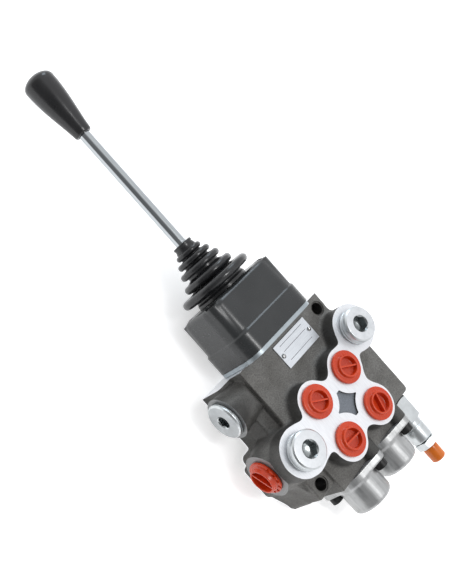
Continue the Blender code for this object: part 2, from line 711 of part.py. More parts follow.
def make_load_check():
    start = Vector((-46.2, INLET_SIDE_Y, SPOOL_Z))
    axis = Vector((1, 0, 0))
    joint = joint_empty("slide_check", start)
    profile = ((0, 11.0), (2.6, 11.0), (2.6, 8.0), (5.9, 8.0), (5.9, 3.0), (4.4, 0.3), (0, 0.3))
    part(turned("check_body", profile, start, axis), "check_poppet", STEEL, joint)
    spring = coil("check_coil", start + axis * 8.3, axis, 5.0, 0.6, 10.4, 4, 10)
    part(spring, "check_spring", STEEL)


# ---------------------------------------------------------------- joystick


def box_prism(name, inset, y_low, y_high, corner_r):
    low = (-BOX_X + inset, y_low, BOX_LOW_Z + inset)
    high = (BOX_X - inset, y_high, BOX_HIGH_Z - inset)
    return block(name, low, high, round_along=1, radius=corner_r)


def make_plate():
    low = (-BOX_X + 0.5, LEVER_END_Y + GAP, BOX_LOW_Z + 0.3)
    high = (BOX_X - 0.5, PLATE_TOP_Y, BOX_HIGH_Z - 1)
    plate = block("plate", low, high, round_along=1, radius=BOX_CORNER_R)
    holes = [(x, SPOOL_Z, 8.8, ROUND) for _, x in SIDES]
    holes += [(x, z, DRILL_R, SMALL_ROUND) for x, z in BOX_SCREWS]
    holes += [(0, z, DRILL_R, SMALL_ROUND) for z in PLATE_SCREW_ZS]
    holes += [(PIVOT.x, PIVOT.z, 3.3, SMALL_ROUND)]
    for i, (x, z, radius, sides) in enumerate(holes):
        start = along_y(x, z, LEVER_END_Y - 1)
        cut(plate, rod(f"plate_hole_{i}", start, along_y(x, z, PLATE_TOP_Y + 1), radius, sides=sides))
    part(plate, "adapter_plate", ZINC)
    for name, z in zip(("lower", "upper"), PLATE_SCREW_ZS):
        head = along_y(0, z, PLATE_TOP_Y + GAP)
        socket_screw(f"plate_screw_{name}", head, ALONG_Y, 2.5, 10.5, 4.3, 3.0)


def make_box():
    base = PLATE_TOP_Y + GAP
    housing = box_prism("box_skirt", 0, base, BOX_LEDGE_Y, BOX_CORNER_R)
    upper = box_prism("box_upper", BOX_STEP, base + 2, BOX_TOP_Y, BOX_CORNER_R)
    rim = upper.modifiers.new("rim", "BEVEL")
    rim.width = 2.5 * MM
    rim.segments = 2
    rim.limit_method = "ANGLE"
    rim.angle_limit = math.radians(60)
    inner_r = BOX_CORNER_R - BOX_WALL
    hollow = box_prism("box_hollow", BOX_STEP + BOX_WALL, base - 1, BOX_TOP_Y - 2.8, inner_r)
    join(housing, upper)
    cut(housing, hollow)
    for i, (x, z) in enumerate(BOX_SCREWS):
        start = along_y(x, z, base)
        join(housing, rod(f"box_post_{i}", start, along_y(x, z, BOX_TOP_Y - 1), 5.2, sides=SMALL_ROUND))
    for i, (x, z) in enumerate(BOX_SCREWS):
        start = along_y(x, z, base - 1)
        cut(housing, rod(f"box_hole_{i}", start, along_y(x, z, BOX_TOP_Y + 1), 2.8, sides=SMALL_ROUND))
        seat = along_y(x, z, BOX_TOP_Y - 6.0)
        cut(housing, rod(f"box_seat_{i}", seat, along_y(x, z, BOX_TOP_Y + 1), 4.6, sides=SMALL_ROUND))
    opening = rod(
        "box_opening",
        along_y(0, LEVER_Z, BOX_TOP_Y - 5),
        along_y(0, LEVER_Z, BOX_TOP_Y + 1),
        OPENING_R,
    )
    cut(housing, opening)
    part(housing, "joystick_housing", BLACK_PLASTIC)
    names = ("lower_left", "lower_right", "upper_left", "upper_right")
    for name, (x, z) in zip(names, BOX_SCREWS):
        head = along_y(x, z, BOX_TOP_Y - 6.0 + GAP)
        end = 55.0 if name.startswith("lower") else LEVER_END_Y + GAP
        socket_screw(f"box_screw_{name}", head, ALONG_Y, 2.5, head.y - end, 4.3, 4.5)


def fork_ears(name, frame, low, high):
    """Two ears on the pin's axis (local X), rounded about the pin, reaching from the pin to low or high."""
    for sign in (-1, 1):
        inner, outer = sorted((sign * EAR_IN, sign * EAR_OUT))
        yield block(f"{name}_ear_{sign}", (inner, -EAR_HALF, low), (outer, EAR_HALF, high), frame)
        yield rod(f"{name}_eye_{sign}", (inner, 0, 0), (outer, 0, 0), EAR_HALF, frame, SMALL_ROUND)


def make_pivot(towards_left, towards_right):
    """The fixed post, the cross that tilts in it and the rocker that tilts on the cross."""
    post_frame = at(PIVOT) @ frame_of(towards_left)
    seat = PLATE_TOP_Y + GAP - PIVOT.y
    post = rod("post_stem", (0, 0, seat), (0, 0, -6.2), 5.3, post_frame)
    join(post, rod("post_spigot", (0, 0, seat - 2.9), (0, 0, seat + 1), 3.0, post_frame, SMALL_ROUND))
    join(post, *fork_ears("post", post_frame, -7.0, 0.0))
    cut(post, rod("post_pin_hole", (-9, 0, 0), (9, 0, 0), PIN_R + 0.15, post_frame, SMALL_ROUND))
    part(post, "pivot_post", STEEL)

    tilt = joint_empty("tilt_gimbal", PIVOT)
    cross = block("cross_block", (-2.5, -2.5, -2.5), (2.5, 2.5, 2.5), post_frame)
    for name, direction in (("left", towards_left), ("right", towards_right)):
        frame = at(PIVOT) @ frame_of(direction)
        join(cross, rod(f"trunnion_{name}", (-EAR_OUT, 0, 0), (EAR_OUT, 0, 0), PIN_R, frame, SMALL_ROUND))
    part(cross, "gimbal_cross", STEEL, tilt)
    return tilt


def make_rocker(joint, towards_left, towards_right):
    """The rocker carries the lever in its hub and a ball on an arm over each spool."""
    frame = at(PIVOT) @ frame_of(towards_right)
    left = at(PIVOT) @ frame_of(towards_left)
    bridge_low = (-EAR_OUT, -EAR_HALF, BRIDGE_LOW)
    rocker = block("rocker_bridge", bridge_low, (EAR_OUT, EAR_HALF, BRIDGE_HIGH), frame)
    join(rocker, *fork_ears("rocker", frame, 0.0, BRIDGE_LOW + 0.5))
    hub_y = PIVOT.y + BRIDGE_LOW
    join(
        rocker,
        block("rocker_web", (-4.5, hub_y, LEVER_Z), (4.5, PIVOT.y + BRIDGE_HIGH, PIVOT.z)),
        rod("rocker_hub", along_y(0, LEVER_Z, hub_y - 1), along_y(0, LEVER_Z, hub_y + 6), 6.6),
    )
    reach = (Vector((-SPOOL_X, PIVOT.y, SPOOL_Z)) - PIVOT).length
    arm_height = (BRIDGE_LOW + BRIDGE_HIGH) / 2
    arm_left = [(1.0, 0, arm_height), (9.5, 0, arm_height), (9.5, 0, 0), (reach, 0, 0)]
    boss_ends = (EAR_OUT - 0.5, 0, 0), (EAR_OUT + 2, 0, 0)
    join(
        rocker,
        wire("arm_left", arm_left, ARM_R, left),
        ball("ball_left", (reach, 0, 0), BALL_R, left),
        rod("arm_boss", *boss_ends, EAR_HALF, frame, SMALL_ROUND, ARM_R),
        rod("arm_right", (EAR_OUT + 1, 0, 0), (reach, 0, 0), ARM_R, frame, SMALL_ROUND),
        ball("ball_right", (reach, 0, 0), BALL_R, frame),
    )
    hole_end = EAR_OUT + 0.4
    pin_hole = rod("rocker_pin_hole", (-hole_end, 0, 0), (hole_end, 0, 0), PIN_R + 0.15, frame, SMALL_ROUND)
    hub_hole = rod(
        "rocker_hole",
        along_y(0, LEVER_Z, hub_y - 3),
        along_y(0, LEVER_Z, hub_y + 8),
        LEVER_R + 0.25,
    )
    part(cut(rocker, pin_hole, hub_hole), "rocker", STEEL, joint)


def make_lever(joint):
    base = PIVOT.y + 4.4
    bottom = along_y(0, LEVER_Z, base)
    length = LEVER_TOP_Y - base
    profile = (
        (0, length),
        (LEVER_R - 0.6, length),
        (LEVER_R, length - 0.6),
        (LEVER_R, 0.6),
        (LEVER_R - 0.6, 0),
        (0, 0),
    )
    part(turned("lever", profile, bottom, ALONG_Y), "lever_rod", ZINC, joint)
    nut_low = along_y(0, LEVER_Z, PIVOT.y + 11.5)
    nut_high = along_y(0, LEVER_Z, PIVOT.y + 15.5)
    nut = hexagon("lever_nut_body", nut_low, nut_high, 13.0)
    cut(nut, rod("lever_nut_bore", nut_low - ALONG_Y, nut_high + ALONG_Y, LEVER_R + 0.25))
    part(nut, "lever_nut", ZINC, joint)
    make_knob(joint)


def make_knob(joint):
    """A tapered grip that swells towards a domed end."""
    height = KNOB_TOP_Y - KNOB_Y
    dome_h = 6.5
    wide = 11.0
    profile = []
    for i in range(6):
        angle = math.pi / 2 * i / 5
        profile.append((wide * math.sin(angle), height - dome_h + dome_h * math.cos(angle)))
    narrow = 6.3
    for share in (0.8, 0.5, 0.2):
        swell = math.sin(share * math.pi / 2) ** 1.6
        profile.append((narrow + (wide - narrow) * swell, (height - dome_h) * share))
    profile += [(6.4, 1.2), (6.0, 0.0), (LEVER_R + 0.3, 0.0), (LEVER_R + 0.3, 21.5), (0, 23.0)]
    knob = turned("knob", profile, along_y(0, LEVER_Z, KNOB_Y), ALONG_Y)
    part(knob, "lever_knob", BLACK_PLASTIC, joint)


def make_gaiter():
    """Five folds that widen towards the box. It is a thin skin, open at both ends."""
    outer = [(6.4, GAITER_TOP_Y)]
    for i, (y, radius) in enumerate(FOLDS):
        outer += [(VALLEYS[i][1], VALLEYS[i][0]), (radius, y)]
    outer += [(VALLEYS[5][1], VALLEYS[5][0]), (20.6, 108.3), (21.0, BOX_TOP_Y + GAP)]
    inner = [(LEVER_R + 0.5, GAITER_TOP_Y), (LEVER_R + 0.5, 143.5)]
    for i, (y, radius) in enumerate(FOLDS):
        inner += [(radius - 1.9, y), (VALLEYS[i + 1][1] - GAITER_SKIN, VALLEYS[i + 1][0])]
    inner += [(19.2, 108.0), (19.6, BOX_TOP_Y + GAP)]
    gaiter = turned("gaiter_skin", outer + inner[::-1], along_y(0, LEVER_Z, 0), ALONG_Y, ring=True)
    part(gaiter, "gaiter", RUBBER)


# ---------------------------------------------------------------- assembly


def main():
    main_block = block("main_block", (-38, CAP_END_Y, 0), (34, LEVER_END_Y, TOP_Z))
    join(main_block, *casting_solids())
    cut(main_block, *casting_cuts())
    part(main_block, "valve_body", CAST)
    make_label()
    make_plugs()
    for side, x in SIDES:
        make_spool_section(side, x)
    make_relief_valve()
    make_load_check()
    make_plate()
    make_box()
    towards_left = Vector((-SPOOL_X, PIVOT.y, SPOOL_Z)) - PIVOT
    towards_right = Vector((SPOOL_X, PIVOT.y, SPOOL_Z)) - PIVOT
    gimbal = make_pivot(towards_left, towards_right)
    tilt = joint_empty("tilt_lever", PIVOT, gimbal)
    make_rocker(tilt, towards_left, towards_right)
    make_lever(tilt)
    make_gaiter()


main()
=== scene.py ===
import json
import math

import bmesh
import bpy
import numpy as np
from mathutils import Matrix, Vector


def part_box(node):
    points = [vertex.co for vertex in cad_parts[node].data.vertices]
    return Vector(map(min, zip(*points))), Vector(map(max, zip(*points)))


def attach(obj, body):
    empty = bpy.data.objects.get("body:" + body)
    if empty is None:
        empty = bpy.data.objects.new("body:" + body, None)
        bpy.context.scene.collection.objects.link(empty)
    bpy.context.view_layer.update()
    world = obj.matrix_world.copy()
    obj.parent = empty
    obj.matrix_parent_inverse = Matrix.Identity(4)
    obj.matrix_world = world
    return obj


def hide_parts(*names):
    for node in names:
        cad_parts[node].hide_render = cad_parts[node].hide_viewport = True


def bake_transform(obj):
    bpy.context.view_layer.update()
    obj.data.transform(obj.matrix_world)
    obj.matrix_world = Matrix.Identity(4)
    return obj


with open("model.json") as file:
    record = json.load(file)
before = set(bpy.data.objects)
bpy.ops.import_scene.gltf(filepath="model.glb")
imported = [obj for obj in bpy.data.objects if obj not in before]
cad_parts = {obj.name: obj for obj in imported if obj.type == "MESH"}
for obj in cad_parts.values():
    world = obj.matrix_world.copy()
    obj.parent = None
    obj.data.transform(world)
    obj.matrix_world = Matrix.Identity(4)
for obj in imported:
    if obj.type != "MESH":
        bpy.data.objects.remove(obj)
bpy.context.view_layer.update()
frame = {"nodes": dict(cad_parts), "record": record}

# Lengths are millimetres in the part's own frame, turned into metres as each mesh is made.
MM = 0.001
ROUND = 72
UP = Vector((0.0, 0.0, 1.0))
ALONG_X = Vector((1.0, 0.0, 0.0))
ALONG_Y = Vector((0.0, 1.0, 0.0))

SPOOL_X = 17.5
SPOOL_Z = 25.0
PORT_Y = 16.0
PORT_FACE_Z = 50.0
TOP_Z = 37.0
LEVER_END_Y = 62.0
CAP_END_Y = -38.0
PORT_RING_R = 14.0
TANK_TOP = (45.1, 29.2)
TANK_RING_R = 15.7
INLET_TOP = (-49.5, 2.8)
INLET_RING_R = 16.5
TANK_SIDE = (-59.5, 46.0)
INLET_SIDE = (-65.8, 3.3)
SIDE_BOSS_R = 15.7
MOUNT_HOLES = ((43.9, 53.4), (-46.5, -23.7))
MOUNT_HOLE_R = 4.3
SPOOL_BORE_R = 8.0
SEAL_GROOVE_R = 9.95
PORT_BORE_R = 8.4
PLUG_BORE_R = 9.5
RIVET_HOLE_R = 1.2
RELIEF_X = 46.2
RELIEF_END_Y = -32.0
CAP_SCREW_OFFSET = 13.3
SCREW_R = 2.5
SCREW_HEAD_R = 4.3
TAPPED_R = 2.75
LEVER_Z = 29.0
PIVOT_X = 0.0
PIVOT_Z = 39.5
BOX_SCREWS = {
    "lower_left": (-26.0, 13.0),
    "lower_right": (26.0, 13.0),
    "upper_left": (-26.0, 45.5),
    "upper_right": (26.0, 45.5),
}
PLATE_SCREW_ZS = (14.0, 28.0)
BOX_TOP_Y = 106.0
BOX_BASE_Y = 65.3
BOX_LEDGE_Y = 80.0
BOX_CORNER_R = 12.5
POST_R = 5.4
POST_HOLE_R = 2.8
SCREW_WELL_R = 4.6


def node_box(name):
    """A CAD node's lowest and highest corners, in millimetres."""
    low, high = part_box(name)
    return low / MM, high / MM


# ---------------------------------------------------------------- materials


def fill_ramp(ramp, stops):
    """Sets a colour ramp's stops, each a position and a grey or a colour."""
    elements = ramp.color_ramp.elements
    while len(elements) < len(stops):
        elements.new(0.5)
    for element, (position, colour) in zip(elements, stops):
        element.position = position
        element.color = (*colour, 1.0) if isinstance(colour, tuple) else (colour, colour, colour, 1.0)


class Finish:
    """One procedural material, built from noise in the piece's own coordinates."""

    def __init__(self, name, **sockets):
        self.material = bpy.data.materials.new(name)
        self.material.use_nodes = True
        self.tree = self.material.node_tree
        self.shader = self.tree.nodes["Principled BSDF"]
        for socket, value in sockets.items():
            self.shader.inputs[socket.replace("_", " ")].default_value = value
        self.place = self.node("ShaderNodeTexCoord").outputs["Object"]
        self.bumped = None

    def node(self, kind):
        return self.tree.nodes.new(kind)

    def link(self, source, target):
        self.tree.links.new(source, target)

    def stretched(self, scale):
        """The piece's coordinates, scaled by a different amount along each axis."""
        mapping = self.node("ShaderNodeMapping")
        mapping.inputs["Scale"].default_value = scale
        self.link(self.place, mapping.inputs["Vector"])
        return mapping.outputs["Vector"]

    def noise(self, size_mm, detail=3.0, rough=0.55, vector=None):
        """Noise whose blotches are about size_mm across."""
        made = self.node("ShaderNodeTexNoise")
        made.inputs["Scale"].default_value = 1000.0 / size_mm
        made.inputs["Detail"].default_value = detail
        made.inputs["Roughness"].default_value = rough
        self.link(vector or self.place, made.inputs["Vector"])
        return made.outputs["Fac"]

    def ramp(self, value, *stops):
        """Maps a value through (position, grey or colour) stops."""
        made = self.node("ShaderNodeValToRGB")
        fill_ramp(made, stops)
        self.link(value, made.inputs["Fac"])
        return made.outputs["Color"]

    def mix(self, factor, first, second):
        """first where factor is 0 and second where it is 1."""
        made = self.node("ShaderNodeMix")
        made.data_type = "RGBA"
        self.link(factor, made.inputs["Factor"])
        for socket, value in ((made.inputs[6], first), (made.inputs[7], second)):
            if isinstance(value, tuple):
                socket.default_value = (*value, 1.0)
            else:
                self.link(value, socket)
        return made.outputs[2]

    def multiplied(self, first, second):
        """The product of two colours."""
        made = self.node("ShaderNodeMix")
        made.data_type = "RGBA"
        made.blend_type = "MULTIPLY"
        made.inputs["Factor"].default_value = 1.0
        self.link(first, made.inputs[6])
        self.link(second, made.inputs[7])
        return made.outputs[2]

    def math(self, operation, first, second=0.0):
        made = self.node("ShaderNodeMath")
        made.operation = operation
        for socket, value in zip(made.inputs, (first, second)):
            if isinstance(value, (int, float)):
                socket.default_value = value
            else:
                self.link(value, socket)
        return made.outputs["Value"]

    def axis(self, name):
        """One of the piece's own coordinates, in metres."""
        made = self.node("ShaderNodeSeparateXYZ")
        self.link(self.place, made.inputs["Vector"])
        return made.outputs[name]

    def colour(self, value):
        self.link(value, self.shader.inputs["Base Color"])

    def rough(self, value):
        self.link(value, self.shader.inputs["Roughness"])

    def bump(self, height, depth_mm, strength):
        """Adds relief of this depth under whatever relief is there already."""
        made = self.node("ShaderNodeBump")
        made.inputs["Strength"].default_value = strength
        made.inputs["Distance"].default_value = depth_mm * MM
        self.link(height, made.inputs["Height"])
        if self.bumped is not None:
            self.link(self.bumped, made.inputs["Normal"])
        self.bumped = made.outputs["Normal"]
        self.link(self.bumped, self.shader.inputs["Normal"])


def cast_finish():
    """Phosphated grey iron: fine sand grain, soft blotches and the odd dark pore, with painted shade that
    varies with height and darkens the left flank.
    """
    made = Finish("phosphated_cast_iron", Metallic=0.25)
    grain = made.noise(0.9, 5.0, 0.7)
    blotch = made.noise(14.0, 3.0)
    tone = made.ramp(
        blotch,
        (0.3, (0.095, 0.092, 0.085)),
        (0.55, (0.135, 0.132, 0.124)),
        (0.75, (0.165, 0.162, 0.154)),
    )
    speck = made.ramp(grain, (0.3, 0.45), (0.5, 1.0), (0.72, 1.5))
    # Painted shade by height: darker towards the bottom, lightest near the block's top at 37.6 mm, and much
    # darker on the cast faces above 39.5 mm, such as the port plateau's walls.
    height = made.math("MULTIPLY", made.axis("Z"), 20.0)
    painted_height_shade = made.ramp(height, (0.0, 0.8), (0.6, 0.95), (0.752, 1.1), (0.79, 0.45))
    # Painted shade on the left flank: cast faces left of x = -38.3 mm and past y = 14 to 22 mm are darkened
    # to two thirds.
    outboard = made.math("LESS_THAN", made.axis("X"), -0.0383)
    lever_end = made.ramp(made.math("MULTIPLY", made.axis("Y"), 20.0), (0.28, 0.0), (0.44, 1.0))
    painted_left_flank_shade = made.ramp(made.math("MULTIPLY", outboard, lever_end), (0.0, 1.0), (1.0, 0.66))
    made.colour(made.multiplied(made.multiplied(made.multiplied(tone, speck), painted_height_shade), painted_left_flank_shade))
    made.rough(made.ramp(grain, (0.3, 0.5), (0.7, 0.66)))
    made.bump(made.noise(5.0, 3.0), 0.25, 0.5)
    made.bump(grain, 0.22, 0.8)
    return made.material


def machined_finish():
    """A milled face: bright, with fine cutter lines and a few stains."""
    made = Finish("milled_iron", Metallic=0.55)
    lines = made.noise(0.5, 2.0, 0.5, made.stretched((1.0, 0.06, 1.0)))
    stain = made.noise(6.0, 5.0, 0.7)
    bright = made.ramp(lines, (0.3, (0.75, 0.765, 0.795)), (0.7, (0.86, 0.875, 0.90)))
    dark = made.ramp(stain, (0.26, 1.0), (0.31, 0.0))
    made.colour(made.mix(dark, bright, (0.42, 0.41, 0.40)))
    made.rough(made.ramp(stain, (0.3, 0.42), (0.7, 0.3)))
    made.bump(lines, 0.02, 0.35)
    return made.material


def mottled(
    name, metallic, mottle, tones, roughness, relief, relief_noise=None, edges=(0.3, 0.7), **sockets
):
    """A finish whose tone and gloss follow one noise. Its relief follows that noise, or a finer one."""
    made = Finish(name, Metallic=metallic, **sockets)
    cloud = made.noise(*mottle)
    made.colour(made.ramp(cloud, *zip(edges, tones)))
    made.rough(made.ramp(cloud, *zip((0.3, 0.7), roughness)))
    made.bump(made.noise(*relief_noise) if relief_noise else cloud, *relief)
    return made.material


def zinc_finish(name="zinc_plated_steel", tint=(0.66, 0.69, 0.70), roughness=(0.4, 0.26)):
    """Bright zinc plate with faint turning marks and a cloudy passivation."""
    tones = (tuple(0.8 * part for part in tint), tint)
    return mottled(name, 1.0, (9.0, 4.0, 0.6), tones, roughness, (0.003, 0.25), (1.2, 3.0), (0.3, 0.65))


def aluminium_finish():
    """Die-cast aluminium, tumbled to a satin grey with drawn streaks along the cup."""
    made = Finish("satin_die_cast_aluminium", Metallic=0.9)
    streak = made.noise(2.2, 4.0, 0.65, made.stretched((1.0, 0.12, 1.0)))
    cloud = made.noise(8.0, 4.0, 0.6)
    tone = made.ramp(streak, (0.3, (0.34, 0.345, 0.345)), (0.7, (0.50, 0.505, 0.505)))
    stain = made.ramp(cloud, (0.28, 0.45), (0.42, 0.0))
    made.colour(made.mix(stain, tone, (0.22, 0.22, 0.21)))
    made.rough(made.ramp(cloud, (0.3, 0.46), (0.7, 0.34)))
    made.bump(made.noise(0.9, 3.0), 0.03, 0.35)
    return made.material


def rod_finish():
    """The lever: drawn bright bar with hair lines along its length."""
    made = Finish("bright_drawn_bar", Metallic=1.0)
    hair = made.noise(0.3, 3.0, 0.6, made.stretched((1.0, 0.02, 1.0)))
    made.colour(made.ramp(hair, (0.3, (0.40, 0.43, 0.45)), (0.7, (0.52, 0.545, 0.56))))
    made.rough(made.ramp(hair, (0.3, 0.08), (0.7, 0.15)))
    made.bump(hair, 0.008, 0.3)
    return made.material


def moulded_plastic_finish(name, dark, light, roughness):
    """Glossy moulded plastic: a slight flow of tone and a very fine surface ripple."""
    made = Finish(name, IOR=1.5)
    flow = made.noise(18.0, 3.0, 0.5)
    made.colour(made.ramp(flow, (0.3, dark), (0.7, light)))
    scuff = made.noise(3.0, 5.0, 0.7)
    made.rough(made.ramp(scuff, (0.3, roughness[0]), (0.75, roughness[1])))
    made.bump(made.noise(1.4, 2.0), 0.008, 0.25)
    made.bump(flow, 0.12, 0.2)
    return made.material


def label_finish():
    """A blank rating plate: brushed bright aluminium with three ruled lines and no lettering."""
    made = Finish("brushed_label", Metallic=0.6)
    brushed = made.noise(0.25, 2.0, 0.5, made.stretched((0.03, 1.0, 1.0)))
    sheet = made.ramp(brushed, (0.3, (0.66, 0.69, 0.73)), (0.7, (0.79, 0.82, 0.86)))
    y = made.axis("Y")
    x = made.axis("X")
    ruled = None
    for centre in (0.0435, 0.0505, 0.0548):
        off = made.math("ABSOLUTE", made.math("SUBTRACT", y, centre))
        line = made.math("LESS_THAN", off, 0.00016)
        ruled = line if ruled is None else made.math("MAXIMUM", ruled, line)
    off_middle = made.math("ABSOLUTE", made.math("SUBTRACT", x, 0.0105))
    inside = made.math("LESS_THAN", off_middle, 0.0125)
    printed = made.math("MULTIPLY", ruled, inside)
    made.colour(made.mix(printed, sheet, (0.09, 0.09, 0.10)))
    made.rough(made.ramp(brushed, (0.3, 0.3), (0.7, 0.42)))
    made.bump(brushed, 0.01, 0.3)
    return made.material


CAST = cast_finish()
MILLED = machined_finish()
# The as-cast floor of the middle hollow, rubbed bluish grey.
POCKET_TONES = ((0.11, 0.125, 0.145), (0.22, 0.24, 0.27))
POCKET = mottled("rubbed_cast_pocket", 0.3, (0.8, 5.0, 0.7), POCKET_TONES, (0.45, 0.6), (0.15, 0.7))
# The side bosses' spot-faced rims, duller than the port face.
SPOT_TONES = ((0.16, 0.165, 0.165), (0.30, 0.305, 0.31))
SPOT_FACED = mottled("spot_faced_iron", 0.6, (0.7, 4.0, 0.65), SPOT_TONES, (0.3, 0.48), (0.04, 0.4))
# The dark inside of a drilled hole.
BORE_TONES = ((0.05, 0.048, 0.045), (0.11, 0.108, 0.1))
BORE = mottled("drilled_iron", 0.6, (0.6, 2.0), BORE_TONES, (0.4, 0.55), (0.05, 0.4))
ZINC = zinc_finish()
PLATE_ZINC = zinc_finish("zinc_plate_edge", (0.42, 0.47, 0.50), (0.5, 0.34))
GROUND = zinc_finish("ground_steel", (0.58, 0.58, 0.58), (0.26, 0.14))
# A darker copy of the faced zinc for the plug that faces sideways: painted shade on its face.
FACED_PAINTED_SHADE = zinc_finish("faced_zinc_painted_shade", (0.42, 0.44, 0.45), (0.42, 0.3))
SOCKET = zinc_finish("broached_socket", (0.36, 0.385, 0.39), (0.34, 0.2))
FACED_TONES = ((0.62, 0.64, 0.66), (0.76, 0.78, 0.80))
FACED = mottled("faced_zinc", 0.85, (4.0, 4.0, 0.6), FACED_TONES, (0.4, 0.28), (0.006, 0.4), (1.0, 3.0))
ALUMINIUM = aluminium_finish()
ROD = rod_finish()
OXIDE_TONES = ((0.018, 0.018, 0.018), (0.04, 0.04, 0.04))
BLACK_STEEL = mottled("black_oxide", 0.7, (3.0, 3.0), OXIDE_TONES, (0.34, 0.5), (0.02, 0.4), (0.4, 2.0))
HOUSING_PLASTIC = moulded_plastic_finish(
    "charcoal_plastic", (0.022, 0.024, 0.025), (0.030, 0.032, 0.033), (0.22, 0.3)
)
KNOB_PLASTIC = moulded_plastic_finish(
    "knob_plastic", (0.012, 0.012, 0.013), (0.022, 0.022, 0.023), (0.16, 0.3)
)
ORANGE = moulded_plastic_finish(
    "orange_plastic", (0.54, 0.036, 0.005), (0.62, 0.055, 0.009), (0.2, 0.34)
)
CAP_ORANGE = moulded_plastic_finish(
    "amber_orange_plastic", (0.58, 0.125, 0.008), (0.68, 0.17, 0.014), (0.14, 0.26)
)
# Moulded rubber with a waxy bloom in patches.
RUBBER = mottled(
    "gaiter_rubber",
    0.0,
    (7.0, 4.0, 0.6),
    ((0.010, 0.010, 0.011), (0.024, 0.025, 0.027)),
    (0.18, 0.32),
    (0.04, 0.4),
    (0.7, 3.0),
    (0.35, 0.75),
    IOR=1.5,
)
LABEL = label_finish()
BRASS_TONES = ((0.52, 0.36, 0.14), (0.70, 0.52, 0.24))
BRASS = mottled("turned_brass", 1.0, (3.0, 3.0), BRASS_TONES, (0.22, 0.36), (0.01, 0.4), (0.4, 2.0))


# ---------------------------------------------------------------- mesh kit


def toward(axis):
    """The turn that takes +Z to axis."""
    return UP.rotation_difference(Vector(axis)).to_matrix().to_4x4()


def at(point):
    return Matrix.Translation(Vector(point))


def new_object(name, points, faces, finishes, smooth=35.0):
    """An object at the frame's origin whose vertices hold its place, in metres."""
    mesh = bpy.data.meshes.new(name)
    mesh.from_pydata((np.asarray(points, float) * MM).tolist(), [], [list(face) for face in faces])
    mesh.validate()
    obj = bpy.data.objects.new(name, mesh)
    bpy.context.scene.collection.objects.link(obj)
    for finish in finishes if isinstance(finishes, (list, tuple)) else (finishes,):
        mesh.materials.append(finish)
    shade(obj, smooth)
    return obj


def shade(obj, angle=35.0):
    obj.data.shade_smooth()
    obj.data.set_sharp_from_angle(angle=math.radians(angle))


def facing_out(points, faces):
    """The faces, all turned round if they enclose a negative volume."""
    volume = 0.0
    for face in faces:
        first = points[face[0]]
        for second, third in zip(face[1:], face[2:]):
            volume += np.dot(first, np.cross(points[second], points[third]))
    return faces if volume > 0 else [tuple(reversed(face)) for face in faces]


def softened(profile, segments=4):
    """Rounds the corners of a profile of (radius, height) or (radius, height, fillet) points."""
    result = []
    count = len(profile)
    for i, entry in enumerate(profile):
        fillet = entry[2] if len(entry) > 2 else 0.0
        corner = np.array(entry[:2], float)
        if not fillet or i in (0, count - 1):
            result.append(corner)
            continue
        before = np.array(profile[i - 1][:2], float) - corner
        after = np.array(profile[(i + 1) % count][:2], float) - corner
        start = corner + before / np.linalg.norm(before) * fillet
        end = corner + after / np.linalg.norm(after) * fillet
        for step in range(segments + 1):
            t = step / segments
            result.append((1 - t) ** 2 * start + 2 * t * (1 - t) * corner + t * t * end)
    return result


def lathe(name, profile, base, axis, finishes, steps=ROUND, ring=False, smooth=35.0, segments=4):
    """A turned solid. The profile runs down the outside, and a ring's closes on itself."""
    outline = softened(profile, segments)
    frame_matrix = np.array(at(base) @ toward(axis))
    points, rows = [], []
    for radius, height in outline:
        if radius < 1e-6:
            rows.append([len(points)] * steps)
            points.append((0.0, 0.0, height))
            continue
        rows.append(list(range(len(points), len(points) + steps)))
        for i in range(steps):
            angle = 2 * math.pi * i / steps
            points.append((radius * math.cos(angle), radius * math.sin(angle), height))
    pairs = list(zip(rows, rows[1:])) + ([(rows[-1], rows[0])] if ring else [])
    faces = []
    for upper, lower in pairs:
        for i in range(steps):
            j = (i + 1) % steps
            face = []
            for index in (upper[i], upper[j], lower[j], lower[i]):
                if index not in face:
                    face.append(index)
            if len(face) > 2:
                faces.append(tuple(face))
    points = np.array(points, float) @ frame_matrix[:3, :3].T + frame_matrix[:3, 3]
    return new_object(name, points, facing_out(points, faces), finishes, smooth)


def prism(name, outline, frame_matrix, low, high, finishes, smooth=35.0):
    """A solid with this (x, y) outline between two local heights."""
    count = len(outline)
    local = [(x, y, low) for x, y in outline] + [(x, y, high) for x, y in outline]
    matrix = np.array(frame_matrix)
    points = np.array(local, float) @ matrix[:3, :3].T + matrix[:3, 3]
    faces = [tuple(reversed(range(count))), tuple(range(count, 2 * count))]
    faces += [(i, (i + 1) % count, (i + 1) % count + count, i + count) for i in range(count)]
    return new_object(name, points, facing_out(points, faces), finishes, smooth)


def circle(radius, sides, turn):
    angles = [turn + 2 * math.pi * i / sides for i in range(sides)]
    return [(radius * math.cos(angle), radius * math.sin(angle)) for angle in angles]


def rod(name, start, end, radius, finishes=CAST, sides=ROUND, turn=0.0):
    start, end = Vector(start), Vector(end)
    length = (end - start).length
    place = at(start) @ toward(end - start)
    return prism(name, circle(radius, sides, turn), place, 0.0, length, finishes)


def block(name, low, high, finishes=CAST, place=Matrix.Identity(4)):
    outline = [(low[0], low[1]), (high[0], low[1]), (high[0], high[1]), (low[0], high[1])]
    return prism(name, outline, place, low[2], high[2], finishes)


def hexagon(name, start, end, across_flats, finishes=CAST, turn=0.0):
    return rod(name, start, end, across_flats / math.sqrt(3), finishes, 6, turn)


def paint(cutter, index):
    """Every face that this cutter leaves takes the target's material slot index."""
    while len(cutter.data.materials) <= index:
        cutter.data.materials.append(cutter.data.materials[0])
    for polygon in cutter.data.polygons:
        polygon.material_index = index
    return cutter


def boolean(obj, cutters, operation="DIFFERENCE", smooth=35.0):
    """Applies the cutters in turn and removes them."""
    for cutter in cutters:
        modifier = obj.modifiers.new(cutter.name, "BOOLEAN")
        modifier.operation = operation
        modifier.object = cutter
        modifier.solver = "MANIFOLD"
    return applied(obj, cutters, smooth)


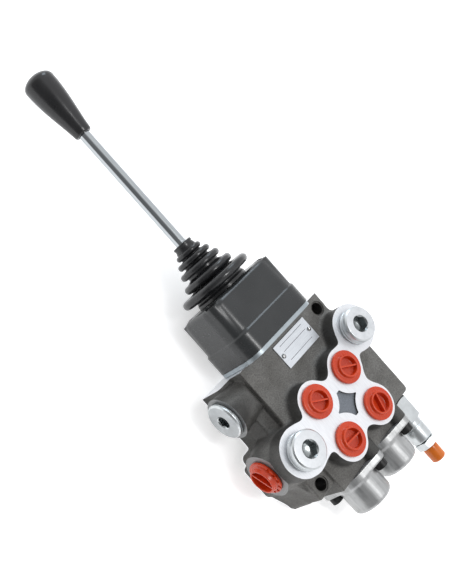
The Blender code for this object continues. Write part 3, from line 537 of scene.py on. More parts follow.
def applied(obj, helpers=(), smooth=35.0):
    """Bakes the modifiers into the mesh and removes the helpers."""
    graph = bpy.context.evaluated_depsgraph_get()
    mesh = bpy.data.meshes.new_from_object(obj.evaluated_get(graph))
    obj.modifiers.clear()
    obj.data = mesh
    for helper in helpers:
        bpy.data.objects.remove(helper)
    shade(obj, smooth)
    return obj


def bevelled(obj, width):
    """Breaks the sharp edges with one flat chamfer."""
    modifier = obj.modifiers.new("edges", "BEVEL")
    modifier.width = width * MM
    modifier.segments = 1
    modifier.limit_method = "ANGLE"
    modifier.angle_limit = math.radians(35.0)
    return applied(obj)


def piece(obj, body, slot_name, *nodes):
    """Puts a finished piece on its body, in place of the CAD nodes that it stands for."""
    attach(obj, body)
    if nodes:
        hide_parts(*nodes)
    return obj


# ---------------------------------------------------------------- distance fields


def rounded_min(first, second, radius):
    """The union of two fields, with a fillet where they meet."""
    gap = np.maximum(radius - np.abs(first - second), 0.0)
    return np.minimum(first, second) - gap * gap / (4 * radius)


def corner_field(first, second, radius=0.0):
    """The field of two walls' outer corner, rounded by a radius that both fields already stand in by."""
    reach = np.hypot(np.maximum(first, 0.0), np.maximum(second, 0.0))
    return reach + np.minimum(np.maximum(first, second), 0.0) - radius


def box_field(x, y, z, low, high, radius):
    """A box with rounded edges."""
    outside = []
    for value, lo, hi in zip((x, y, z), low, high):
        outside.append(np.abs(value - (lo + hi) / 2) - (hi - lo) / 2 + radius)
    reach = np.sqrt(sum(np.maximum(part, 0.0) ** 2 for part in outside))
    return reach + np.minimum(np.maximum.reduce(outside), 0.0) - radius


def rod_field(x, y, z, start, end, radius, edge, end_radius=None):
    """A cylinder or cone between two points, with rounded rims."""
    start, end = np.array(start, float), np.array(end, float)
    length = np.linalg.norm(end - start)
    axis = (end - start) / length
    dx, dy, dz = x - start[0], y - start[1], z - start[2]
    along = dx * axis[0] + dy * axis[1] + dz * axis[2]
    across = np.sqrt(np.maximum(dx * dx + dy * dy + dz * dz - along * along, 0.0))
    wide = radius if end_radius is None else radius + (end_radius - radius) * along / length
    side = across - wide + edge
    cap = np.abs(along - length / 2) - length / 2 + edge
    return corner_field(side, cap, edge)


def flat_box_field(x, y, low, high, radius):
    across = np.abs(x - (low[0] + high[0]) / 2) - (high[0] - low[0]) / 2 + radius
    along = np.abs(y - (low[1] + high[1]) / 2) - (high[1] - low[1]) / 2 + radius
    return corner_field(across, along, radius)


def flat_bar_field(x, y, start, end, radius):
    """A round-ended bar in the plane."""
    start, end = np.array(start, float), np.array(end, float)
    reach = end - start
    share = ((x - start[0]) * reach[0] + (y - start[1]) * reach[1]) / (reach @ reach)
    share = np.clip(share, 0.0, 1.0)
    return np.hypot(x - start[0] - share * reach[0], y - start[1] - share * reach[1]) - radius


def along_edges(values, axis):
    """Where the field changes sign along an axis, and how far along each edge it does."""
    first = np.moveaxis(values, axis, 0)[:-1]
    second = np.moveaxis(values, axis, 0)[1:]
    crossed = (first < 0) != (second < 0)
    share = np.where(crossed, first / np.where(crossed, first - second, 1.0), 0.0)
    starts_inside = (first < 0) & crossed
    return [np.moveaxis(found, 0, axis) for found in (crossed, share, starts_inside)]


def field_mesh(field, low, high, step):
    """Points and quads on the zero level of a field, one point for each cell that it crosses."""
    axes = [np.arange(lo, hi + step, step) for lo, hi in zip(low, high)]
    values = field(*np.meshgrid(*axes, indexing="ij"))
    cells = np.array(values.shape) - 1
    place = np.zeros((*cells, 3))
    hits = np.zeros(cells)
    found = [along_edges(values, axis) for axis in range(3)]
    for axis, (crossed, share, _) in enumerate(found):
        one, two = (other for other in range(3) if other != axis)
        for d_one in (0, 1):
            for d_two in (0, 1):
                window = [slice(None)] * 3
                window[one] = slice(d_one, d_one + cells[one])
                window[two] = slice(d_two, d_two + cells[two])
                hit = crossed[tuple(window)]
                hits += hit
                place[..., axis] += share[tuple(window)]
                place[..., one] += hit * d_one
                place[..., two] += hit * d_two
    used = hits > 0
    index = np.full(cells, -1)
    index[used] = np.arange(used.sum())
    points = (np.argwhere(used) + place[used] / hits[used][:, None]) * step + np.array(low)
    quads = []
    for axis, (crossed, _, starts_inside) in enumerate(found):
        one, two = (other for other in range(3) if other != axis)
        edges = np.argwhere(crossed)
        inner = (edges[:, one] > 0) & (edges[:, one] < cells[one])
        inner &= (edges[:, two] > 0) & (edges[:, two] < cells[two])
        edges = edges[inner]
        corners = []
        for d_one, d_two in ((1, 1), (0, 1), (0, 0), (1, 0)):
            cell = edges.copy()
            cell[:, one] -= d_one
            cell[:, two] -= d_two
            corners.append(index[tuple(cell.T)])
        quad = np.stack(corners, axis=1)
        turned_round = starts_inside[tuple(edges.T)] == (axis == 1)
        quad[turned_round] = quad[turned_round][:, ::-1]
        quads.append(quad)
    return drawn_to(field, points, step), np.concatenate(quads)


def drawn_to(field, points, step):
    """Moves each point along the field's slope onto its zero level."""
    small = 0.05
    for _ in range(3):
        value = field(*points.T)
        slope = np.empty_like(points)
        for axis in range(3):
            shift = np.zeros(3)
            shift[axis] = small
            slope[:, axis] = (field(*(points + shift).T) - field(*(points - shift).T)) / (2 * small)
        move = value / np.maximum((slope**2).sum(1), 0.25)
        points = points - slope * np.clip(move, -step / 2, step / 2)[:, None]
    return points


def field_object(name, field, low, high, step, finishes, smooth=35.0):
    points, quads = field_mesh(field, low, high, step)
    return new_object(name, points, quads, finishes, smooth)


# ---------------------------------------------------------------- casting


# The casting before it is machined: its left wall, its underside and the metal left on its faces.
BLOCK_LEFT_X = -38.0
RAW_FOOT_Z = -6.0
ALLOWANCE = 4.0


def port_plan(x, y):
    """Outline of the machined port face: four rings, the web between them and a neck to each large port."""
    plan = flat_box_field(x, y, (-25.0, -20.5), (25.0, 20.5), 3.0)
    inlet_neck = flat_box_field(x, y, (INLET_TOP[0], -11.8), (-SPOOL_X, 15.8), 2.0)
    tank_neck = flat_bar_field(x, y, (SPOOL_X, PORT_Y), TANK_TOP, 8.0)
    plan = rounded_min(np.minimum(plan, inlet_neck), tank_neck, 4.0)
    for ring_x in (-SPOOL_X, SPOOL_X):
        for ring_y in (-PORT_Y, PORT_Y):
            ring = np.hypot(x - ring_x, y - ring_y) - PORT_RING_R
            plan = rounded_min(plan, ring, 5.0)
    for centre, radius in ((TANK_TOP, TANK_RING_R), (INLET_TOP, INLET_RING_R)):
        plan = rounded_min(plan, np.hypot(x - centre[0], y - centre[1]) - radius, 5.0)
    return plan


def standing_box(x, y, z, corner, opposite, top, radius):
    """A box that stands on the raw underside, between two corners of its plan."""
    return box_field(x, y, z, (*corner, RAW_FOOT_Z), (*opposite, top), radius)


def corner_block_field(x, y, z):
    """The lower left corner of the casting, whose outer wall slants in plan and is drafted."""
    slanted = -(x + 59.3) * 0.938 - (y + 12.0) * 0.346
    walls = np.maximum.reduce([-31.5 - y, y - 2.0, x + 30.0, slanted, -60.0 - x])
    return np.maximum.reduce([walls + 0.05 * (z - 16.0), z - 32.0, RAW_FOOT_Z - z]) - 0.3


def left_side_field(x, y, z):
    """The steps of the casting's left side, from the lever's end to the lower corner."""
    left = standing_box(x, y, z, (-48, 17), (-28, 40), 31, 1.5)
    added = (
        (standing_box(x, y, z, (-58, -12), (-28, 17), 33, 4.0), 2.5),
        (standing_box(x, y, z, (-49.5, 34), (-28, 68), 24, 3.0), 2.5),
        (corner_block_field(x, y, z), 2.5),
        (standing_box(x, y, z, (-62, -14), (-28, 11), 11, 2.5), 2.0),
        (standing_box(x, y, z, (-54.5, -30.5), (-38.6, -15.3), 36, 1.2), 1.5),
    )
    for step, fillet in added:
        left = rounded_min(left, step, fillet)
    return left


def casting_field(x, y, z):
    """The raw casting, oversize wherever a face is machined afterwards."""
    body = standing_box(x, y, z, (BLOCK_LEFT_X, -44), (34, 68), TOP_Z, 0.9)
    body = np.minimum(body, standing_box(x, y, z, (28, RELIEF_END_Y), (58, 12), TOP_Z - 0.5, 3.2))
    body = np.minimum(body, standing_box(x, y, z, (28, 8), (52, 68), TOP_Z - 1, 2.2))
    body = rounded_min(body, left_side_field(x, y, z), 1.2)
    for (face_x, boss_y), inner_r, fillet in ((INLET_SIDE, 14.5, 3.0), (TANK_SIDE, 11.2, 1.2)):
        start = (face_x - 4, boss_y, SPOOL_Z)
        boss = rod_field(x, y, z, start, (-30, boss_y, SPOOL_Z), SIDE_BOSS_R + 0.3, 1.0, inner_r)
        if boss_y > PORT_Y:
            # The tank boss dips where it meets the block, so that the block's upper edge stays sharp.
            boss = np.maximum(boss, (z - 33.0 + 1.1 * (x - BLOCK_LEFT_X)) * 0.67)
        body = rounded_min(body, boss, fillet)
    raw_top_z = PORT_FACE_Z + ALLOWANCE
    ends = ((*TANK_TOP, RAW_FOOT_Z), (*TANK_TOP, raw_top_z))
    body = rounded_min(body, rod_field(x, y, z, *ends, TANK_RING_R - 0.2, 1.0), 4.0)
    draft = 0.035 * np.clip((60.0 - x) / 12.0, 0.0, 1.0)
    plan = port_plan(x, y) - draft * (PORT_FACE_Z - z)
    plateau = np.maximum.reduce([plan, z - raw_top_z, 18.0 - z])
    body = rounded_min(body, plateau, 4.5)
    for spool_x in (-SPOOL_X, SPOOL_X):
        lug_x, lug_z = spool_x + CAP_SCREW_OFFSET, SPOOL_Z + CAP_SCREW_OFFSET
        lug = rod_field(x, y, z, (lug_x, -44, lug_z), (lug_x, CAP_END_Y + 13, lug_z), 6.0, 2.0)
        body = rounded_min(body, lug, 2.5)
    ripple = np.sin(0.37 * x + 1.1) * np.sin(0.29 * y + 0.4) * np.sin(0.33 * z + 2.0)
    ripple += 0.5 * np.sin(0.83 * x + 0.2) * np.sin(0.71 * y + 1.3) * np.sin(0.77 * z)
    return np.maximum(body + 0.11 * ripple, x - 60.75)


RAW, MACHINED, DRILLED, HOLLOW, SPOT = 0, 1, 2, 3, 4

# Each milled face: its axis, which way it faces and where it lies.
MILLED_FACES = ((2, 1, PORT_FACE_Z), (2, -1, 0.0), (1, 1, LEVER_END_Y), (1, -1, CAP_END_Y))


def machining():
    """What is milled away, face by face."""
    far = 120.0
    for axis, sign, level in MILLED_FACES:
        low, high = [-far] * 3, [far] * 3
        if sign > 0:
            low[axis] = level
        else:
            high[axis] = level
        yield block(f"mill_{axis}_{level}", low, high)
    for x, y in (INLET_SIDE, TANK_SIDE):
        yield rod(f"spot_face_{y}", (x - 20, y, SPOOL_Z), (x, y, SPOOL_Z), SIDE_BOSS_R + 1.0)
    for i, (x, y) in enumerate(MOUNT_HOLES):
        yield rod(f"mount_rim_{i}", (x, y, 35.3), (x, y, 45), MOUNT_HOLE_R + 1.0)


def rivet_centres():
    for name in ("left", "right"):
        low, high = node_box(f"label_rivet_{name}")
        yield name, (low.x + high.x) / 2, (low.y + high.y) / 2, high.z


def bores():
    """Every drilled hole, as its two ends and its radius."""
    for x in (-SPOOL_X, SPOOL_X):
        yield (x, -40, SPOOL_Z), (x, 64, SPOOL_Z), SPOOL_BORE_R
        for y in (57.0, -34.0):
            yield (x, y - 1.1, SPOOL_Z), (x, y + 1.1, SPOOL_Z), SEAL_GROOVE_R
        for y in (-PORT_Y, PORT_Y):
            yield (x, y, 52), (x, y, 36), PORT_BORE_R
            yield (x, y, 37), (x, y, 31), 5.5
        for sign in (-1, 1):
            screw = (x + sign * CAP_SCREW_OFFSET, SPOOL_Z + sign * CAP_SCREW_OFFSET)
            yield (screw[0], -40, screw[1]), (screw[0], -27, screw[1]), TAPPED_R
    for (x, y), depth, reach in ((TANK_TOP, 14, 24), (INLET_TOP, 12, 22)):
        yield (x, y, 52), (x, y, PORT_FACE_Z - depth), PLUG_BORE_R
        yield (x, y, PORT_FACE_Z - depth + 1), (x, y, PORT_FACE_Z - reach), 6
    tank_y = TANK_SIDE[1]
    yield (TANK_SIDE[0] - 2, tank_y, SPOOL_Z), (TANK_SIDE[0] + 14, tank_y, SPOOL_Z), PLUG_BORE_R
    yield (TANK_SIDE[0] + 13, tank_y, SPOOL_Z), (RELIEF_X, tank_y, SPOOL_Z), 5.5
    yield (TANK_TOP[0], TANK_TOP[1], 24), (TANK_TOP[0], tank_y + 1, SPOOL_Z), 5
    inlet_y = INLET_SIDE[1]
    stations = ((-68, -50, PORT_BORE_R), (-51, -45.5, 3.6), (-46.5, -27, 6.3), (-28, RELIEF_X + 2, 4.5))
    for start_x, end_x, radius in stations:
        yield (start_x, inlet_y, SPOOL_Z), (end_x, inlet_y, SPOOL_Z), radius
    yield (RELIEF_X, -34, SPOOL_Z), (RELIEF_X, -5.7, SPOOL_Z), 8.0
    yield (RELIEF_X, -7, SPOOL_Z), (RELIEF_X, 5.3, SPOOL_Z), 4.8
    for x, y in MOUNT_HOLES:
        yield (x, y, -2), (x, y, 52), MOUNT_HOLE_R
    for name in ("lower_left", "lower_right"):
        x, z = BOX_SCREWS[name]
        yield (x, 64, z), (x, 53, z), TAPPED_R
    for z in PLATE_SCREW_ZS:
        yield (0, 64, z), (0, 54, z), TAPPED_R
    for _, x, y, _ in rivet_centres():
        yield (x, y, 39), (x, y, 33.6), RIVET_HOLE_R


def hollow_outline():
    """The four-cusped hollow's outline: its sides are concentric with the ports, its points blunt."""
    half_x, half_y, side_r = 10.4, 9.6, 17.2
    outline = []
    for step in range(96):
        angle = 2 * math.pi * (step + 0.5) / 96
        ray = Vector((math.cos(angle), math.sin(angle)))
        reach = min(half_x / abs(ray.x), half_y / abs(ray.y))
        port = Vector((math.copysign(SPOOL_X, ray.x), math.copysign(PORT_Y, ray.y)))
        along = ray.dot(port)
        gap = along * along - port.length_squared + side_r * side_r
        if gap > 0:
            reach = min(reach, along - math.sqrt(gap))
        outline.append((ray.x * reach, ray.y * reach))
    return outline


def finish_faces(casting):
    """Gives each face of the finished casting its surface, from where it lies and which way it faces."""
    mesh = casting.data
    centres = np.array([polygon.center[:] for polygon in mesh.polygons]) / MM
    normals = np.array([polygon.normal[:] for polygon in mesh.polygons])
    kinds = np.full(len(centres), RAW)
    for start, end, radius in bores():
        start, end = np.array(start, float), np.array(end, float)
        axis = (end - start) / np.linalg.norm(end - start)
        offset = centres - start
        along = offset @ axis
        across = np.linalg.norm(offset - along[:, None] * axis, axis=1)
        inside = (across < radius + 0.03) & (along > -0.03) & (along < np.linalg.norm(end - start) + 0.03)
        kinds[inside] = DRILLED
    for axis, sign, level in MILLED_FACES:
        on_face = np.abs(centres[:, axis] - level) < 0.02
        kinds[on_face & (normals[:, axis] * sign > 0.99)] = MACHINED
    for x, _ in (INLET_SIDE, TANK_SIDE):
        on_face = (np.abs(centres[:, 0] - x) < 0.02) & (normals[:, 0] < -0.99)
        kinds[on_face] = SPOT
    hollow = (np.abs(centres[:, 0]) < 10.5) & (np.abs(centres[:, 1]) < 9.7)
    hollow &= (centres[:, 2] > PORT_FACE_Z - 1.7) & (centres[:, 2] < PORT_FACE_Z - 1.5)
    kinds[hollow] = HOLLOW
    mesh.polygons.foreach_set("material_index", kinds.astype(np.int32))


def make_casting():
    low, high = (-72, -47, -9), (64, 71, 57)
    casting = field_object(
        "cast_valve_body", casting_field, low, high, 0.9, [CAST, MILLED, BORE, POCKET, SPOT_FACED]
    )
    cutters = list(machining())
    cutters += [
        rod(f"bore_{i}", start, end, radius, sides=ROUND if radius > 7 else 40)
        for i, (start, end, radius) in enumerate(bores())
    ]
    cutters.append(
        prism("hollow", hollow_outline(), at((0, 0, 0)), PORT_FACE_Z - 1.6, PORT_FACE_Z + 3, CAST)
    )
    boolean(casting, cutters, smooth=40.0)
    finish_faces(casting)
    piece(casting, "root", "cast_body", "valve_body")


make_casting()


# ---------------------------------------------------------------- label


RIVET_PROFILE = (
    (0, 0.8),
    (0.8, 0.72, 0.3),
    (1.6, 0.15, 0.2),
    (1.6, 0),
    (0.95, 0),
    (0.95, -3.2),
    (0, -3.2),
)


def make_label():
    low, high = node_box("label_plate")
    label = block("blank_label", low, high, LABEL)
    holes = []
    for name, x, y, top_z in rivet_centres():
        hole = ((x, y, low.z - 1), (x, y, high.z + 1), RIVET_HOLE_R)
        holes.append(rod(f"label_hole_{name}", *hole, sides=32))
        seat = (x, y, top_z - RIVET_PROFILE[0][1])
        rivet = lathe(f"domed_rivet_{name}", RIVET_PROFILE, seat, UP, GROUND, 32)
        piece(rivet, "root", "label_metal", f"label_rivet_{name}")
    boolean(label, holes)
    piece(bevelled(label, 0.12), "root", "label_metal", "label_plate")


make_label()


# ---------------------------------------------------------------- plugs


def plastic_plug(node, centre, outward, flange_r, cup_r, cup_height, rib_angle, notches=0):
    """A push-in plug: rounded flange, open cup and a rib across the cup."""
    inner = cup_r - 1.2
    profile = (
        (0, 0.4),
        (inner - 0.3, 0.4, 0.8),
        (inner, cup_height, 0.35),
        (cup_r, cup_height, 0.5),
        (cup_r + 0.25, 1.9, 0.9),
        (flange_r, 2.0, 0.9),
        (flange_r, 0.0, 0.2),
        (8.1, 0.0),
        (7.5, -8.0, 0.6),
        (0, -8.0),
    )
    base = Vector(centre) + Vector(outward) * 0.3
    plug = lathe(f"moulded_{node}", profile, base, outward, ORANGE)
    place = at(base) @ toward(outward) @ Matrix.Rotation(rib_angle, 4, "Z")
    rib = block("rib", (-inner - 0.4, -0.5, -1.5), (inner + 0.4, 0.55, cup_height - 0.45), ORANGE, place)
    boolean(plug, [rib], "UNION")
    cuts = []
    for i in range(notches):
        turn = place @ Matrix.Rotation(math.radians(-60 + 24 * i), 4, "Z")
        cuts.append(block(f"notch_{i}", (cup_r + 1.0, -1.0, 1.3), (flange_r + 2, 1.0, 4), ORANGE, turn))
    if cuts:
        boolean(plug, cuts)
    piece(plug, "root", "orange_plastic", node)


def metal_plug(node, centre, outward, collar_r, height, socket_flats, turn, face=FACED):
    """A zinc-plated socket plug: faced top, grooved collar, and a hexagon socket with a drilled floor."""
    profile = (
        (0, height),
        (collar_r - 1.1, height, 0.15),
        (collar_r, height - 0.9, 0.3),
        (collar_r, height * 0.52, 0.1),
        (collar_r - 0.35, height * 0.5, 0.1),
        (collar_r - 0.35, height * 0.4, 0.1),
        (collar_r, height * 0.38, 0.1),
        (collar_r, 1.6, 0.3),
        (collar_r - 0.9, 1.3, 0.1),
        (collar_r - 0.9, 0.3),
        (9.2, 0.3),
        (9.2, -9.0),
        (8.2, -10.0),
        (0, -10.0),
    )
    centre, outward = Vector(centre), Vector(outward)
    plug = lathe(f"turned_{node}", profile, centre, outward, [ZINC, face], 96)
    floor = centre + outward * (height - 7)
    top = centre + outward * (height + 1)
    socket_r = socket_flats / math.sqrt(3)
    tip_base = floor + outward * 0.6
    cuts = [
        hexagon("socket", floor, top, socket_flats, ZINC, turn),
        lathe("drill_tip", ((0, 0), (socket_flats / 2 - 0.15, 0), (0, -2.6)), tip_base, outward, ZINC),
        lathe(
            "socket_lip",
            ((0, 2.2), (socket_r + 1.1, 2.2), (socket_r - 1.0, 0.0), (0, 0.0)),
            centre + outward * (height - 1.35),
            outward,
            ZINC,
        ),
    ]
    boolean(plug, cuts, smooth=30.0)
    plug.data.materials.append(SOCKET)
    for polygon in plug.data.polygons:
        offset = Vector(polygon.center) / MM - centre
        along = offset.dot(outward)
        if along > height - 0.05:
            polygon.material_index = 1
        elif height - 10.5 < along < height - 0.3 and (offset - along * outward).length < socket_r + 0.2:
            polygon.material_index = 2
    piece(plug, "root", "zinc_steel", node)


def make_plugs():
    plugs = {
        "port_plug_a1": (-SPOOL_X, PORT_Y, -0.55),
        "port_plug_b1": (-SPOOL_X, -PORT_Y, -0.09),
        "port_plug_a2": (SPOOL_X, PORT_Y, -0.54),
        "port_plug_b2": (SPOOL_X, -PORT_Y, 1.27),
    }
    for node, (x, y, angle) in plugs.items():
        plastic_plug(node, (x, y, PORT_FACE_Z), UP, 11.3, 7.6, 4.2, angle)
    plastic_plug("inlet_plug_side", (*INLET_SIDE, SPOOL_Z), -ALONG_X, 11.9, 8.9, 5.2, -1.04, 7)
    metal_plug("tank_plug_top", (*TANK_TOP, PORT_FACE_Z), UP, 12.3, 8.4, 10.0, 0.2)
    metal_plug("inlet_plug_top", (*INLET_TOP, PORT_FACE_Z), UP, 12.5, 8.9, 10.0, 0.9)
    # The side plug's face takes the darker copy of the faced zinc, which is painted shade.
    metal_plug("tank_plug_side", (*TANK_SIDE, SPOOL_Z), -ALONG_X, 12.9, 3.8, 8.0, 0.3, FACED_PAINTED_SHADE)


make_plugs()


# ---------------------------------------------------------------- spring caps


def tapered_bar_field(x, z, start, start_r, end, end_r):
    """The plan outline that wraps round two circles."""
    start, end = np.array(start, float), np.array(end, float)
    length = np.linalg.norm(end - start)
    axis = (end - start) / length
    dx, dz = x - start[0], z - start[1]
    along = dx * axis[0] + dz * axis[1]
    across = np.abs(dz * axis[0] - dx * axis[1])
    lean = (start_r - end_r) / length
    upright = math.sqrt(1 - lean * lean)
    side = along * upright - across * lean
    result = across * upright + along * lean - start_r
    result = np.where(side < 0, np.hypot(along, across) - start_r, result)
    return np.where(side > upright * length, np.hypot(along - length, across) - end_r, result)


def socket_screw(node, head_base, axis, length, head_height):
    """A hexagon socket screw: its head's underside is at head_base and its shank runs against axis."""
    profile = (
        (0, head_height),
        (SCREW_HEAD_R, head_height, 0.5),
        (SCREW_HEAD_R, 0, 0.15),
        (SCREW_R, 0),
        (SCREW_R, -length + 0.6),
        (SCREW_R - 0.5, -length),
        (0, -length),
    )
    base, axis = Vector(head_base), Vector(axis)
    screw = lathe(f"socket_{node}", profile, base, axis, BLACK_STEEL, 40)
    floor = base + axis * (head_height * 0.45)
    top = base + axis * (head_height + 1)
    boolean(screw, [hexagon("socket", floor, top, SCREW_HEAD_R * 0.95)], smooth=30.0)
    piece(screw, "root", "black_steel", node)


def make_spring_cap(side, x):
    face = CAP_END_Y - 0.3
    tip = node_box(f"spring_cap_{side}")[0].y
    centre = (x, SPOOL_Z)
    lugs = {
        "lower": (x - CAP_SCREW_OFFSET, SPOOL_Z - CAP_SCREW_OFFSET),
        "upper": (x + CAP_SCREW_OFFSET, SPOOL_Z + CAP_SCREW_OFFSET),
    }

    def cap_field(px, py, pz):
        plan = np.minimum(
            tapered_bar_field(px, pz, centre, 15.3, lugs["lower"], 5.7),
            tapered_bar_field(px, pz, centre, 15.3, lugs["upper"], 5.7),
        )
        edge = 1.0
        flange = corner_field(plan + edge, np.abs(py - (face - 2.0)) - 3.0 + edge, edge)
        cup = rod_field(px, py, pz, (x, tip, SPOOL_Z), (x, face + 4, SPOOL_Z), 14.6, 2.8, 15.0)
        whole = rounded_min(flange, cup, 2.0)
        for lug_x, lug_z in lugs.values():
            seat = np.hypot(px - lug_x, pz - lug_z) - 4.9
            whole = np.maximum(whole, -np.maximum(seat, py - (face - 4.6)))
        return whole

    low = (x - 22, tip - 2, 3)
    high = (x + 22, face + 5, 47)
    cap = field_object(f"die_cast_cap_{side}", cap_field, low, high, 0.6, [ALUMINIUM, MILLED])
    cuts = [
        block("cap_face", (x - 40, face, -30), (x + 40, face + 20, 80)),
        rod("cap_hollow", (x, face + 1, SPOOL_Z), (x, -60, SPOOL_Z), 11.5),
    ]
    for level, (lug_x, lug_z) in lugs.items():
        hole = ((lug_x, face + 1, lug_z), (lug_x, face - 8, lug_z))
        cuts.append(rod(f"lug_hole_{level}", *hole, 2.8, sides=32))
    boolean(cap, [paint(cutter, 1) for cutter in cuts])
    piece(cap, "root", "die_cast_aluminium", f"spring_cap_{side}")
    for level, (lug_x, lug_z) in lugs.items():
        head = (lug_x, face - 5.3, lug_z)
        socket_screw(f"cap_screw_{side}_{level}", head, -ALONG_Y, 15.0, 5.0)


make_spring_cap("left", -SPOOL_X)
make_spring_cap("right", SPOOL_X)


# ---------------------------------------------------------------- relief valve


def relief_point(y):
    return Vector((RELIEF_X, y, SPOOL_Z))


def chamfered_hex(name, start_y, end_y, flats, turn, finish):
    """A hexagon whose corners are turned to a cone at both ends."""
    start, end = relief_point(start_y), relief_point(end_y)
    solid = hexagon(name, start, end, flats, finish, turn)
    length = abs(end_y - start_y)
    corner = flats / math.sqrt(3)
    flat = flats / 2
    rise = (corner - flat) * 0.55
    profile = (
        (0, length),
        (flat - 0.1, length),
        (corner + 0.3, length - rise - 0.2),
        (corner + 0.3, rise + 0.2),
        (flat - 0.1, 0),
        (0, 0),
    )
    envelope = lathe("envelope", profile, end, start - end, finish)
    return boolean(solid, [envelope], "INTERSECT", 30.0)


def make_relief_valve():
    body = chamfered_hex("relief_hexagon", RELIEF_END_Y - 0.3, -50.0, 19.0, 0.0, ZINC)
    boolean(body, [rod("shank", relief_point(-32.6), relief_point(-12.2), 7.7, ZINC)], "UNION")
    boolean(body, [rod("bore", relief_point(-11), relief_point(-51), 4.6, ZINC)], smooth=30.0)
    piece(body, "root", "zinc_steel", "relief_body")
    sleeve_profile = (
        (8.1, 15.7, 0.3),
        (8.1, 12.4, 0.1),
        (7.7, 12.1, 0.1),
        (7.7, 11.4, 0.1),
        (8.1, 11.1, 0.1),
        (8.1, 0.9, 0.4),
        (7.2, 0.0, 0.1),
        (4.4, 0.0),
        (4.4, 15.7),
    )
    sleeve = lathe("knurled_free_sleeve", sleeve_profile, relief_point(-66), ALONG_Y, ZINC, ring=True)
    piece(sleeve, "root", "zinc_steel", "relief_sleeve")
    nut = chamfered_hex("chamfered_lock_nut", -66.3, -71.7, 14.5, 0.26, ZINC)
    boolean(nut, [rod("nut_bore", relief_point(-66), relief_point(-73), 4.4, ZINC)], smooth=30.0)
    piece(nut, "root", "zinc_steel", "relief_lock_nut")
    cap_profile = (
        (0, 1.6),
        (4.4, 1.6),
        (4.4, 11.7, 0.2),
        (5.6, 11.7, 0.3),
        (5.5, 1.0, 0.5),
        (4.6, 0.0, 0.3),
        (0, 0),
    )
    cap = lathe("moulded_tamper_cap", cap_profile, relief_point(-84.2), ALONG_Y, CAP_ORANGE)
    piece(cap, "root", "orange_plastic", "relief_tamper_cap")


make_relief_valve()


# ---------------------------------------------------------------- joystick box


def make_plate():
    low, high = node_box("adapter_plate")
    outline = []
    radius = 11.0
    for turn, (cx, cz) in enumerate(
        (
            (high.x - radius, high.z - radius),
            (low.x + radius, high.z - radius),
            (low.x + radius, low.z + radius),
            (high.x - radius, low.z + radius),
        )
    ):
        for step in range(13):
            angle = turn * math.pi / 2 + step * math.pi / 24
            outline.append((cx + radius * math.cos(angle), cz + radius * math.sin(angle)))
    # Local X, Y, Z are the part's X, Z and -Y here.
    place = Matrix(((1, 0, 0, 0), (0, 0, -1, 0), (0, 1, 0, 0), (0, 0, 0, 1)))
    plate = prism("zinc_adapter_plate", outline, place, -high.y, -low.y, PLATE_ZINC)
    cuts = []
    holes = [(x, SPOOL_Z, 8.8) for x in (-SPOOL_X, SPOOL_X)]
    holes += [(x, z, TAPPED_R) for x, z in BOX_SCREWS.values()]
    holes += [(0, z, TAPPED_R) for z in PLATE_SCREW_ZS] + [(PIVOT_X, PIVOT_Z, 3.3)]
    for i, (x, z, hole_r) in enumerate(holes):
        cuts.append(rod(f"plate_hole_{i}", (x, low.y - 1, z), (x, high.y + 1, z), hole_r, sides=40))
    boolean(plate, cuts)
    piece(bevelled(plate, 0.25), "root", "zinc_steel", "adapter_plate")


make_plate()


def rounded_shell(x, y, z, inset, low_y, high_y, corner_r, edge, taper=0.0):
    """A box across Y with large upright corners and softer rims, drawn in by the taper as it rises."""
    low, high = node_box("joystick_housing")
    shrink = inset + taper * (y - BOX_LEDGE_Y)
    across = np.abs(x) - (high.x - shrink) + corner_r
    mid_z, half_z = (low.z + high.z) / 2, (high.z - low.z) / 2
    upright = np.abs(z - mid_z) - (half_z - shrink) + corner_r
    plan = corner_field(across, upright, corner_r)
    rim = np.abs(y - (low_y + high_y) / 2) - (high_y - low_y) / 2
    return corner_field(plan + edge, rim + edge, edge)


def housing_field(x, y, z):
    skirt = rounded_shell(x, y, z, 0.0, BOX_BASE_Y - 8, BOX_LEDGE_Y, BOX_CORNER_R, 1.1)
    upper = rounded_shell(x, y, z, 1.0, BOX_BASE_Y - 8, BOX_TOP_Y, BOX_CORNER_R, 3.8, 0.03)
    shell = rounded_min(skirt, upper, 1.2)
    hollow = rounded_shell(x, y, z, 4.2, BOX_BASE_Y - 12, BOX_TOP_Y - 2.8, 7.5, 1.0, 0.025)
    shell = np.maximum(shell, -hollow)
    for post_x, post_z in BOX_SCREWS.values():
        post = np.hypot(x - post_x, z - post_z) - POST_R
        post = np.maximum.reduce([post, y - (BOX_TOP_Y - 1.5), BOX_BASE_Y - 6 - y])
        shell = rounded_min(shell, post, 0.8)
    return shell


def make_housing():
    housing = field_object(
        "moulded_joystick_housing", housing_field, (-37, 56, 1), (37, 109, 57), 0.7, HOUSING_PLASTIC
    )
    cuts = [block("housing_foot", (-50, 40, -30), (50, BOX_BASE_Y, 90))]
    cuts.append(rod("gaiter_opening", (0, BOX_TOP_Y - 5, LEVER_Z), (0, BOX_TOP_Y + 2, LEVER_Z), 15.5))
    for name, (x, z) in BOX_SCREWS.items():
        above = (x, BOX_TOP_Y + 1, z)
        cuts.append(rod(f"post_hole_{name}", (x, BOX_BASE_Y - 1, z), above, POST_HOLE_R, sides=40))
        cuts.append(rod(f"post_well_{name}", (x, BOX_TOP_Y - 6, z), above, SCREW_WELL_R, sides=48))
    boolean(housing, cuts)
    piece(housing, "root", "black_plastic", "joystick_housing")
    for name, (x, z) in BOX_SCREWS.items():
        head_y = BOX_TOP_Y - 5.7
        end_y = 55.0 if name.startswith("lower") else LEVER_END_Y + 0.3
        socket_screw(f"box_screw_{name}", (x, head_y, z), ALONG_Y, head_y - end_y, 4.5)


make_housing()


# ---------------------------------------------------------------- lever and gaiter

